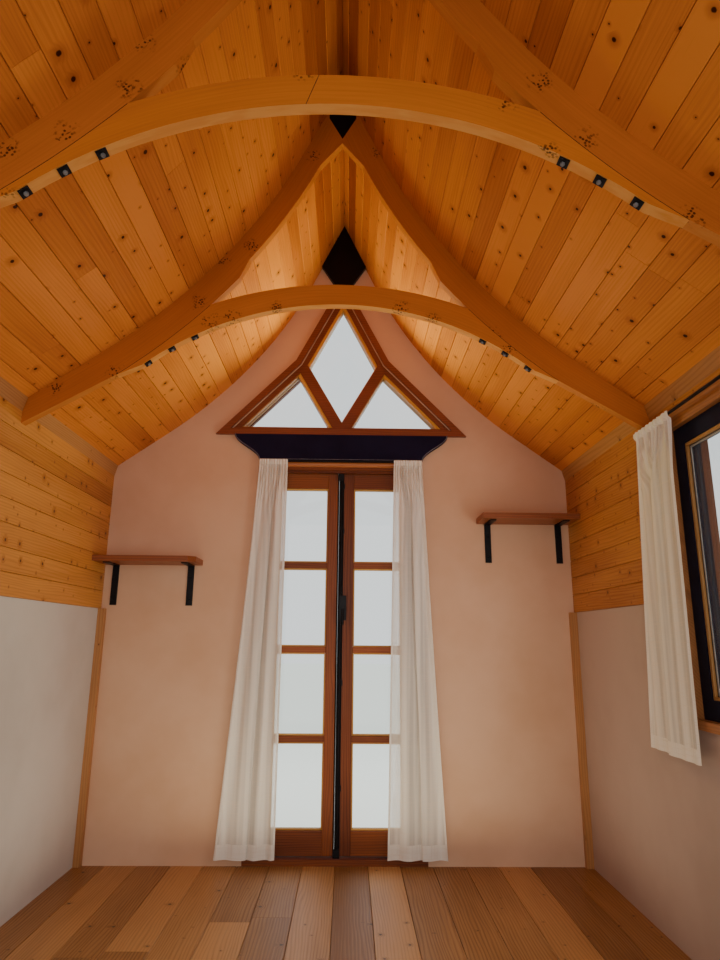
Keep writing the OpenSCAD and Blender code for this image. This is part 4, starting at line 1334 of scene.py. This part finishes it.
# Each curtain's folds below the heading, from the inner edge outwards: share of the width, depth
LEFT_FOLDS = [(0, 0.2), (0.06, -0.5), (0.14, 0.7), (0.25, -0.1), (0.34, -0.9), (0.45, 0.5), (0.50, 0.9),
              (0.47, 0.1), (0.55, -0.8), (0.68, -0.5), (0.80, 0.6), (0.90, 0.1), (0.96, -0.6), (1, -0.2)]
RIGHT_FOLDS = [(0, -0.3), (0.08, 0.5), (0.17, 0.8), (0.27, -0.6), (0.38, -0.9), (0.50, 0.2), (0.58, 0.8),
               (0.62, 0.0), (0.59, -0.7), (0.70, -0.9), (0.82, 0.3), (0.90, 0.8), (0.97, 0.0), (1, -0.5)]
CURTAIN_INNER = 0.258
CURTAIN_OUTER = 0.396
RIGHT_FOOT_INNER = 0.223
DOOR_PLEATS = 11
DOOR_HEADING = 0.035
SIDE_PLEATS = 9
SIDE_HEADING = 0.020
CLOTH_MARGIN = 0.0014


def door_curtain(side):
    """A gathered curtain beside the door; its outer edge spreads towards the foot."""
    low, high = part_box("door_curtains")
    middle = (low.y + high.y) / 2
    deep = (high.y - low.y) / 2 - CLOTH_MARGIN
    folds = LEFT_FOLDS if side < 0 else RIGHT_FOLDS
    foot_inner, foot_outer = (CURTAIN_INNER, -low.x) if side < 0 else (RIGHT_FOOT_INNER, high.x)
    rng = random.Random(171 + side)
    sway, lean, crimp = smooth_noise(rng, 2), smooth_noise(rng, 2), smooth_noise(rng, 9)
    tall = high.z - low.z

    def shape(u, v):
        down = tall * (1 - v)
        hang = eased((down - DOOR_HEADING) / 0.30)
        share, depth = fold_line(folds, u)
        inner = CURTAIN_INNER + (foot_inner - CURTAIN_INNER) * (1 - v)
        outer = CURTAIN_OUTER + (foot_outer - CURTAIN_OUTER) * (1 - v) ** 1.15
        share = u + (share + 0.02 * sway(u + v) * math.sin(math.pi * u) - u) * hang
        pleat = math.sin(2 * math.pi * (DOOR_PLEATS * u + 0.25 * crimp(u)))
        fall = 1 - 0.25 * math.sin(math.pi * min(1, down / 0.5)) + 0.12 * lean(v + 0.3 * u)
        out = depth * fall * hang + 0.45 * pleat * (1 - hang) * (1 - 0.35 * hang)
        front = eased((0.030 - down) / 0.014)
        out = out * (1 - front) + (-0.72 + 0.24 * pleat) * front
        x = inner + (outer - inner) * within(0, 1, share)
        return Vector((x * side, middle + within(-1, 1, out) * deep, low.z + tall * v))

    return cloth_grid("curtain", 150, 230, shape, {"foot": 0.06, "top": 0.032, "side": 0.010})


SIDE_FOLDS = [(0, 0.5), (0.05, 0.9), (0.14, 0.45), (0.25, 0.75), (0.36, 0.4), (0.47, 0.85), (0.56, 0.8),
              (0.585, 0.45), (0.53, 0.1), (0.46, -0.2), (0.43, -0.5), (0.50, -0.75), (0.62, -0.5),
              (0.72, -0.9), (0.83, -0.35), (0.93, -0.75), (1, -0.3)]


SIDE_CURTAIN_IN = 0.092
SIDE_CURTAIN_SPREAD = 0.022
SIDE_CURTAIN_TOP_W = 0.260
SIDE_CURTAIN_FOOT_W = 0.346


def side_curtain(end):
    """A curtain in two wide layered folds at one end of the side window."""
    low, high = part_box("side_curtains")
    middle_x = (low.x + high.x) / 2
    deep = (high.x - low.x) / 2 - CLOTH_MARGIN
    middle = (SIDE_Y1 + SIDE_Y2) / 2
    start_top = (SIDE_Y2 - SIDE_Y1) / 2 - SIDE_CURTAIN_IN
    rng = random.Random(181 + end)
    sway, lean, crimp = smooth_noise(rng, 2), smooth_noise(rng, 2), smooth_noise(rng, 7)
    tall = high.z - low.z

    def shape(u, v):
        down = tall * (1 - v)
        hang = eased((down - SIDE_HEADING) / 0.20)
        share, depth = fold_line(SIDE_FOLDS, u)
        start = start_top + SIDE_CURTAIN_SPREAD * (1 - v)
        length = SIDE_CURTAIN_TOP_W + (SIDE_CURTAIN_FOOT_W - SIDE_CURTAIN_TOP_W) * (1 - v)
        share = u + (share + 0.015 * sway(u + v) * math.sin(math.pi * u) - u) * hang
        pleat = math.sin(2 * math.pi * (SIDE_PLEATS * u + 0.3 * crimp(u)))
        out = depth * (1 + 0.1 * lean(v)) * hang + 0.55 * pleat * (1 - hang)
        front = eased((0.026 - down) / 0.012)
        out = out * (1 - front) + (0.74 + 0.2 * pleat) * front
        reach = start + length * within(0, 1, share)
        return Vector((middle_x - within(-1, 1, out) * deep, middle + end * reach, low.z + tall * v))

    return cloth_grid("curtain", 130, 230, shape, {"foot": 0.05, "top": 0.03, "side": 0.012})


# Each curtain's form, its side or end, its name and the node it stands for
CURTAINS = ((door_curtain, -1, "left_door_curtain", "door_curtains"),
            (door_curtain, 1, "right_door_curtain", "door_curtains"),
            (side_curtain, 1, "near_gable_side_curtain", "side_curtains"),
            (side_curtain, -1, "near_room_side_curtain", "side_curtains"))


# The user's settings


class TinyHouseSettings(bpy.types.PropertyGroup):
    """Sizes and lamp strengths that a user may change."""

    board_gap: bpy.props.FloatProperty(
        name="Board Gap", description="Open joint between two boards", default=0.0007, min=0.0,
        max=0.004, unit="LENGTH")
    board_groove: bpy.props.FloatProperty(
        name="Board Groove", description="Chamfer along each board's good edges", default=0.0014,
        min=0.0, max=0.006, unit="LENGTH")
    edge_round: bpy.props.FloatProperty(
        name="Edge Round", description="Eased edge of the trusses", default=0.002, min=0.0, max=0.01,
        unit="LENGTH")
    room_light: bpy.props.FloatProperty(
        name="Room Light", description="Strength of the soft light at the open end", default=30.0,
        min=0.0, unit="POWER")
    bay_light: bpy.props.FloatProperty(
        name="Bay Light", description="Strength of the warm light under the vault", default=18.5,
        min=0.0, unit="POWER")


def trim_coordinates(tree):
    """Grain that runs up the corner strips and along the strips under the ceiling."""
    found = place(tree)
    high = put(tree, "ShaderNodeSeparateXYZ", {"Vector": found}).outputs["Z"]
    mix = put(tree, "ShaderNodeMix", data_type="VECTOR")
    tree.links.new(maths(tree, "GREATER_THAN", high, DADO_Z + 0.3), mix.inputs[0])
    tree.links.new(turned(tree, found, "ZXY"), mix.inputs[4])
    tree.links.new(turned(tree, found, "YXZ"), mix.inputs[5])
    return mix.outputs[1]


def build_materials():
    """All the finishes of the house, by name."""
    wood_grain_group()
    specks_group()
    mottle_group()
    linen_group()
    along_house = lambda tree: turned(tree, place(tree), "YXZ")
    on_arch = lambda tree: bent_coordinates(tree, 0, ARCH_Z)
    on_vault = lambda tree: bent_coordinates(tree, VAULT_C.x, VAULT_C.y)
    knot = "#3a170a"
    return {
        "ceiling": wood("Ceiling Pine", "#de8a3e", "#9c4c1c", knot, 0.72, 0.14, gloss=0.12),
        "wall": wood("Wall Pine", "#d29048", "#8c4a20", "#5a2c14", 0.85, 0.22, gloss=0.3),
        "floor": wood("Floor Boards", "#b98752", "#7d5229", "#3d2412", 0.3, 0.4),
        "cladding": wood("Cladding", "#c08a52", "#835126", "#3f2412", 0.5, 0.4, gloss=0.2),
        # The arches and rafters carry painted light on their undersides.
        "arch": wood("Arch Timber", "#d88232", "#a65a1e", knot, 0.0, 0.07, on_arch, gloss=0.15,
                     specks=0.9, underside_light=("#dfa056", 0.42, 0.62)),
        "rafter": wood("Rafter Timber", "#c87430", "#965020", knot, 0.0, 0.07, on_vault, gloss=0.15,
                       specks=0.9, underside_light=("#c98546", 0.1, 1.1)),
        "roof timber": wood("Roof Timber", "#9c6c3c", "#64401f", "#301c0d", 0.3, 0.4, along_house),
        "frame timber": wood("Floor Frame", "#a37a4a", "#6b4825", "#352010", 0.3, 0.4, along_house),
        "trim": wood("Pale Trim", "#bd8753", "#8a5730", "#4f2e15", 0.2, 0.3, trim_coordinates),
        "shelf": wood("Shelf Wood", "#9c5a36", "#66331c", "#2e130a", 0.25, 0.4, place),
        "joinery": wood("Dark Joinery", "#9a5226", "#5c2a13", "#221008", 0.05, 0.3, gloss=0.25),
        "star wood": wood("Star Wood", "#8a4a32", "#542819", "#221008", 0.0, 0.3, place, gloss=0.25),
        "golden": wood("Golden Bead", "#d9a24d", "#b07a34", "#5a3015", 0.0, 0.3, gloss=0.3),
        "side bead": wood("Side Bead", "#b3824a", "#7e5528", "#4a2a12", 0.0, 0.3, gloss=0.3),
        "moulding": wood("Head Moulding", "#c4743a", "#8c4a20", "#4a220f", 0.0, 0.3, place, gloss=0.5),
        "reveal": wood("Reveal Wood", "#b27442", "#744422", "#3a1f0f", 0.4, 0.3, along_house),
        "gable": coat("Gable Plaster", "#dcb597", "#d2a888", 0.75, 2.0, 260.0, 0.15),
        "left panel": coat("Painted Panel", "#ccc7c3", "#c0bab5", 0.55, 1.6, 180.0, 0.1),
        # The right panel is the left panel's paint made darker and warmer: painted shade on that wall.
        "right panel": coat("Panel Paint In Painted Shade", "#b8a297", "#ad978b", 0.55, 1.6, 180.0, 0.1),
        "steel": coat("Black Steel", "#100f14", "#09090c", 0.42, 12.0, 500.0, 0.25, gloss=0.2),
        "navy": coat("Navy Paint", "#1a1732", "#151229", 0.60, 6.0, 300.0, 0.15, gloss=0.08),
        "window navy": coat("Window Paint", "#10152c", "#0b0e20", 0.45, 6.0, 300.0, 0.1, gloss=0.15),
        "zinc": coat("Zinc", "#8f9092", "#6f6f70", 0.5, 60.0, 900.0, 0.2, metallic=0.3),
        "sheet": coat("Roof Sheet", "#3b3f42", "#303437", 0.45, 1.5, 700.0, 0.15),
        # A painted highlight for the star window casing's inner edge.
        "pale line": coat("Painted Highlight Line", "#d9b99a", "#c4a080", 0.6, 10.0, 300.0, 0.1),
        "chalk": coat("Chalk Line", "#8d8a94", "#6c6974", 0.8, 60.0, 300.0, 0.1),
        "seal": coat("Black Seal", "#0d0b0b", "#080707", 0.7, 20.0, 400.0, 0.1),
        "spacer": coat("Spacer Strip", "#a9a39c", "#96918b", 0.5, 20.0, 400.0, 0.1),
        "glass": pane_glass(),
        "linen": linen(),
    }


FINISH = {}


def finish_of(name):
    """A finish by name; the finishes are made once."""
    if not FINISH:
        FINISH.update(build_materials())
    return FINISH[name]


class TINYHOUSE_OT_ceiling(bpy.types.Operator):
    """Lays the ceiling boards round the vault."""

    bl_idname = "tiny_house.ceiling"
    bl_label = "Ceiling Boards"

    def execute(self, context):
        settings = context.scene.tiny_house
        for side, word in SIDES:
            boards = ceiling_side(side, settings)
            boards.made(f"{word}_ceiling_boards", finish_of("ceiling"), bevel=0,
                        replaces=[f"{word}_ceiling"], slot="pine_boards")
        return {"FINISHED"}


class TINYHOUSE_OT_walls(bpy.types.Operator):
    """Lays the wall boards and finishes the panels, strips and gable wall."""

    bl_idname = "tiny_house.walls"
    bl_label = "Walls"

    def execute(self, context):
        settings = context.scene.tiny_house
        for side, word in SIDES:
            boards = wall_side(side, settings)
            boards.made(f"{word}_wall_boards", finish_of("wall"), bevel=0,
                        replaces=[f"{word}_boards"], slot="pine_boards")
            dress(f"{word}_panel", finish_of(f"{word} panel"))
            dress(f"{word}_wall", finish_of("roof timber"))
        dress("wall_trims", finish_of("trim"), 0.0015)
        for node in ("gable_wall_left", "gable_wall_right", "gable_wall_top"):
            dress(node, finish_of("gable"))
        return {"FINISHED"}


class TINYHOUSE_OT_floor(bpy.types.Operator):
    """Lays the floor boards on the floor frame."""

    bl_idname = "tiny_house.floor"
    bl_label = "Floor"

    def execute(self, context):
        boards = floor_boards(context.scene.tiny_house)
        boards.made("floor_planks", finish_of("floor"), bevel=0, replaces=["floor_deck"],
                    slot="floor_boards")
        dress("floor_frame", finish_of("frame timber"), 0.003)
        return {"FINISHED"}


class TINYHOUSE_OT_cladding(bpy.types.Operator):
    """Nails boards, cover strips and casings outside the walls."""

    bl_idname = "tiny_house.cladding"
    bl_label = "Cladding"

    def execute(self, context):
        for side, word in SIDES:
            clad_side(side).made(f"{word}_cladding", finish_of("cladding"), slot="cladding")
        clad_gable().made("gable_cladding", finish_of("cladding"), bevel=0, slot="cladding")
        outer_trims().made("outer_casings", finish_of("joinery"), slot="stained_joinery")
        return {"FINISHED"}


class TINYHOUSE_OT_roof(bpy.types.Operator):
    """Finishes the roof and folds its standing seams."""

    bl_idname = "tiny_house.roof"
    bl_label = "Roof"

    def execute(self, context):
        for side, word in SIDES:
            dress(f"{word}_roof", finish_of("roof timber"))
            dress(f"{word}_covering", finish_of("sheet"))
            finished(roof_seams(side), f"{word}_roof_seams", finish_of("sheet"))
        dress("ridge_cap", finish_of("sheet"), 0.002)
        return {"FINISHED"}


class TINYHOUSE_OT_trusses(bpy.types.Operator):
    """Finishes the rafters and arches, and bolts them up."""

    bl_idname = "tiny_house.trusses"
    bl_label = "Trusses"

    def execute(self, context):
        ease = context.scene.tiny_house.edge_round
        for i in (1, 2, 3):
            dress(f"truss_{i}_rafters", finish_of("rafter"), ease)
            dress(f"truss_{i}_arch", finish_of("arch"), ease)
        truss_joints().made("truss_joint_lines", finish_of("seal"), bevel=0, slot="beam_timber")
        dress("peak_blocks", finish_of("steel"), 0.001)
        washers().made("arch_washers", finish_of("steel"), bevel=0.0005, replaces=["arch_bolts"],
                       slot="black_steel")
        heads = [(BOLT_HEAD, place + down * WASHER_T, down, 6) for place, down, _ in bolt_places()]
        turned_pieces("arch_bolt_heads", finish_of("zinc"), heads, smooth=False)
        screws = []
        for y in TRUSS_FRONTS:
            seat = Vector((0, y, steep_line(0) - PEAK_SCREW_DROP))
            screws.append((screw_head(0.006), seat, -Y, 14))
        turned_pieces("peak_screws", finish_of("zinc"), screws)
        return {"FINISHED"}


class TINYHOUSE_OT_star_window(bpy.types.Operator):
    """Trims the star window with mitred casing, frame and beads."""

    bl_idname = "tiny_house.star_window"
    bl_label = "Star Window"

    def execute(self, context):
        for node in ("star_casing", "star_frame"):
            dress(node, finish_of("star wood"), 0.0015)
        dress("star_glass", finish_of("glass"))
        star_beads().made("star_beads", finish_of("golden"), bevel=0.0008, slot="stained_joinery")
        # A painted highlight along the casing's inner edge.
        star_highlight_line().made("star_painted_highlight_line", finish_of("pale line"), bevel=0, slot="stained_joinery")
        return {"FINISHED"}


class TINYHOUSE_OT_header(bpy.types.Operator):
    """Paints the header board over the door."""

    bl_idname = "tiny_house.header"
    bl_label = "Header Board"

    def execute(self, context):
        dress("header_board", finish_of("navy"), 0.002)
        header_line().made("header_pale_line", finish_of("chalk"), bevel=0, slot="navy_paint")
        return {"FINISHED"}


class TINYHOUSE_OT_door(bpy.types.Operator):
    """Joins the door frame and the two glazed leaves, and hangs them."""

    bl_idname = "tiny_house.door"
    bl_label = "French Door"

    def execute(self, context):
        frame_timber().made("door_frame_timber", finish_of("joinery"), replaces=["door_frame"],
                            slot="stained_joinery")
        for side in ("left", "right"):
            body = f"{side}_door"
            leaf_timber(side).made(f"{side}_leaf_timber", finish_of("joinery"), body,
                                   replaces=[f"{side}_leaf"], slot="stained_joinery")
            pane_beads(side).made(f"{side}_pane_beads", finish_of("golden"), body, bevel=0.001,
                                  slot="stained_joinery")
            dress(f"{side}_leaf_glass", finish_of("glass"))
        for on_leaf in (False, True):
            items, flaps = hinges(on_leaf)
            for side, word in SIDES:
                body = f"{word}_door" if on_leaf else "house"
                part = "leaf" if on_leaf else "frame"
                hinge_piece(f"{word}_{part}_hinges", finish_of("steel"), body,
                            [t for s, t in items if s == side], [t for s, t in flaps if s == side])
        dress("door_bolt", finish_of("steel"), 0.0008)
        bolt_keepers().made("bolt_keepers", finish_of("steel"), bevel=0.0008, slot="black_steel")
        # A painted shadow beside the bolt's rod.
        bolt_shadow_strip().made("bolt_shadow_strip", finish_of("seal"), "right_door", bevel=0,
                          slot="stained_joinery")
        finished(head_moulding(), "door_head_moulding", finish_of("moulding"))
        for side in ("left", "right"):
            meeting_seal(side).made(f"{side}_meeting_seal", finish_of("seal"), f"{side}_door", bevel=0,
                                    slot="stained_joinery")
        return {"FINISHED"}


class TINYHOUSE_OT_side_window(bpy.types.Operator):
    """Finishes the side window, its reveal and its sill."""

    bl_idname = "tiny_house.side_window"
    bl_label = "Side Window"

    def execute(self, context):
        dress("side_window_reveal", finish_of("reveal"), 0.0015)
        dress("side_window_frame", finish_of("window navy"), 0.002)
        dress("side_window_glass", finish_of("glass"))
        beads, seal, spacer = side_beads()
        beads.made("side_window_beads", finish_of("side bead"), bevel=0.001, slot="stained_joinery")
        seal.made("side_window_seal", finish_of("seal"), bevel=0, slot="navy_paint")
        spacer.made("side_window_spacer", finish_of("spacer"), bevel=0, slot="navy_paint")
        return {"FINISHED"}


class TINYHOUSE_OT_curtains(bpy.types.Operator):
    """Hangs the linen curtains on their rods."""

    bl_idname = "tiny_house.curtains"
    bl_label = "Curtains"

    def execute(self, context):
        dress("curtain_rods", finish_of("steel"))
        for curtain, side, name, node in CURTAINS:
            mesh, area, length = curtain(side)
            piece = finished(mesh, name, finish_of("linen"), replaces=[node])
        return {"FINISHED"}


class TINYHOUSE_OT_shelves(bpy.types.Operator):
    """Finishes the shelves and screws their brackets to the wall."""

    bl_idname = "tiny_house.shelves"
    bl_label = "Shelves"

    def execute(self, context):
        dress("shelves", finish_of("shelf"), 0.002)
        dress("shelf_brackets", finish_of("steel"), 0.001)
        turned_pieces("bracket_screws", finish_of("steel"), bracket_screws())
        return {"FINISHED"}


def lamp(name, place_at, target, size, power, colour=(1, 1, 1), shiny=True):
    """A soft square lamp."""
    data = bpy.data.lights.new(name, "AREA")
    data.shape = "SQUARE"
    data.size = size
    data.energy = power
    data.color = colour
    made = bpy.data.objects.new(name, data)
    made.location = place_at
    made.rotation_mode = "QUATERNION"
    made.rotation_quaternion = (Vector(target) - Vector(place_at)).to_track_quat("-Z", "Y")
    made.visible_camera = False
    made.visible_glossy = shiny
    made.visible_transmission = False
    bpy.context.scene.collection.objects.link(made)


CAMERA_PLACE = (0.045, -1.826, 1.080)
CAMERA_PITCH = math.radians(13.67)
CAMERA_YAW = math.radians(0.89)
CAMERA_ROLL = math.radians(0.46)
CAMERA_LENS = 24.707
CAMERA_SENSOR = 36
STUDIO_REACH = 30


def studio_floor():
    """A pale floor under the house, a little brighter where it is seen through the panes."""
    mesh = bpy.data.meshes.new("studio_floor")
    far = STUDIO_REACH
    mesh.from_pydata([(-far, -far, 0), (far, -far, 0), (far, far, 0), (-far, far, 0)], [], [(0, 1, 2, 3)])
    floor = bpy.data.objects.new("studio_floor", mesh)
    floor.location.z = -0.001
    made, tree, shader = new_material("Studio Floor")
    shader.inputs["Base Color"].default_value = rgb("#dddcda")
    shader.inputs["Roughness"].default_value = 0.9
    shader.inputs["Emission Color"].default_value = rgb("#c9d2c8")
    path = put(tree, "ShaderNodeLightPath").outputs
    tree.links.new(path["Is Transmission Ray"], shader.inputs["Emission Strength"])
    mesh.materials.append(made)
    bpy.context.scene.collection.objects.link(floor)


def studio_world():
    """Soft light from all round, with a pale backdrop where the camera sees past the house."""
    world = bpy.data.worlds.new("Studio")
    bpy.context.scene.world = world
    world.use_nodes = True
    tree = world.node_tree
    tree.nodes.clear()
    path = put(tree, "ShaderNodeLightPath").outputs
    seen = maths(tree, "MAXIMUM", maths(tree, "MAXIMUM", path["Is Camera Ray"], path["Is Glossy Ray"]),
                 path["Is Transmission Ray"])
    light = put(tree, "ShaderNodeBackground", {"Color": (1, 1, 1, 1), "Strength": 0.75})
    through = maths(tree, "MULTIPLY_ADD", path["Is Transmission Ray"], 0.4, 1.0)
    backdrop = put(tree, "ShaderNodeBackground", {"Color": rgb("#eceef0"), "Strength": through})
    mix = put(tree, "ShaderNodeMixShader", {0: seen, 1: light.outputs[0], 2: backdrop.outputs[0]})
    output = tree.nodes.new("ShaderNodeOutputWorld")
    tree.links.new(mix.outputs[0], output.inputs["Surface"])


def studio_lamps(power, bay):
    """The lamps: one before the open end, three small warm ones in the bay and three outside."""
    lamp("Room Light", (0.15, -3.8, 1.3), (0, 1.3, 1.1), 2.4, power, (1.0, 0.95, 0.88))
    lamp("Bay Light", (0, 0.35, 0.12), (0, 0.15, 2.2), 1.4, bay, (1.0, 0.88, 0.62), False)
    lamp("Star Light", (0, 1.2, 2.25), (0, 0, 2.45), 0.5, bay * 0.5, (0.92, 1.0, 0.45), False)
    lamp("Side Light", (0.98, 0.35, 1.25), (-1.1, 0.35, 1.3), 0.5, bay * 0.3, (1.0, 0.96, 0.9), False)
    lamp("Gable Light", (0.5, 4.6, 3.6), (0, 1.3, 1.4), 2.6, power * 3.2)
    lamp("Window Light", (4.2, -0.1, 2.6), (0.8, -0.1, 1.3), 2.4, power * 2.4)
    lamp("Left Light", (-4.5, 1.6, 4.0), (0, 0, 1.8), 3.0, power * 2.2)


def room_camera():
    """The camera, at the open end and looking up into the bay."""
    data = bpy.data.cameras.new("Camera")
    data.lens = CAMERA_LENS
    data.sensor_width = CAMERA_SENSOR
    data.clip_start = 0.02
    camera = bpy.data.objects.new("Camera", data)
    cos_p, sin_p = math.cos(CAMERA_PITCH), math.sin(CAMERA_PITCH)
    forward = Vector((math.sin(CAMERA_YAW) * cos_p, math.cos(CAMERA_YAW) * cos_p, sin_p))
    right = Vector((math.cos(CAMERA_YAW), -math.sin(CAMERA_YAW), 0))
    up = right.cross(forward)
    cos_r, sin_r = math.cos(CAMERA_ROLL), math.sin(CAMERA_ROLL)
    right, up = right * cos_r + up * sin_r, up * cos_r - right * sin_r
    turn = Matrix((right, up, -forward)).transposed()
    camera.rotation_mode = "QUATERNION"
    camera.rotation_quaternion = turn.to_quaternion()
    camera.location = CAMERA_PLACE
    bpy.context.scene.collection.objects.link(camera)
    bpy.context.scene.camera = camera


class TINYHOUSE_OT_stage(bpy.types.Operator):
    """Sets the pale floor, the soft studio light and the camera."""

    bl_idname = "tiny_house.stage"
    bl_label = "Stage"

    def execute(self, context):
        settings = context.scene.tiny_house
        studio_floor()
        studio_world()
        studio_lamps(settings.room_light, settings.bay_light)
        room_camera()
        return {"FINISHED"}


class TINYHOUSE_PT_panel(bpy.types.Panel):
    """Lists the house's steps and settings."""

    bl_label = "Tiny House"
    bl_idname = "TINYHOUSE_PT_panel"
    bl_space_type = "VIEW_3D"
    bl_region_type = "UI"
    bl_category = "Tiny House"

    def draw(self, context):
        settings = context.scene.tiny_house
        for label in ("board_gap", "board_groove", "edge_round", "room_light", "bay_light"):
            self.layout.prop(settings, label)
        for step in STEPS:
            self.layout.operator(step.bl_idname)


STEPS = (TINYHOUSE_OT_ceiling, TINYHOUSE_OT_walls, TINYHOUSE_OT_floor, TINYHOUSE_OT_cladding,
         TINYHOUSE_OT_roof, TINYHOUSE_OT_trusses, TINYHOUSE_OT_star_window, TINYHOUSE_OT_header,
         TINYHOUSE_OT_door, TINYHOUSE_OT_side_window, TINYHOUSE_OT_curtains, TINYHOUSE_OT_shelves,
         TINYHOUSE_OT_stage)


def register():
    """Registers the settings, the steps and the panel."""
    for made in (TinyHouseSettings, *STEPS, TINYHOUSE_PT_panel):
        bpy.utils.register_class(made)
    bpy.types.Scene.tiny_house = bpy.props.PointerProperty(type=TinyHouseSettings)


def unregister():
    """Takes them out again."""
    del bpy.types.Scene.tiny_house
    for made in (TINYHOUSE_PT_panel, *reversed(STEPS), TinyHouseSettings):
        bpy.utils.unregister_class(made)


def main():
    """Runs every step."""
    register()
    for step in STEPS:
        getattr(bpy.ops.tiny_house, step.bl_idname.removeprefix("tiny_house."))()


if __name__ == "__main__":
    main()
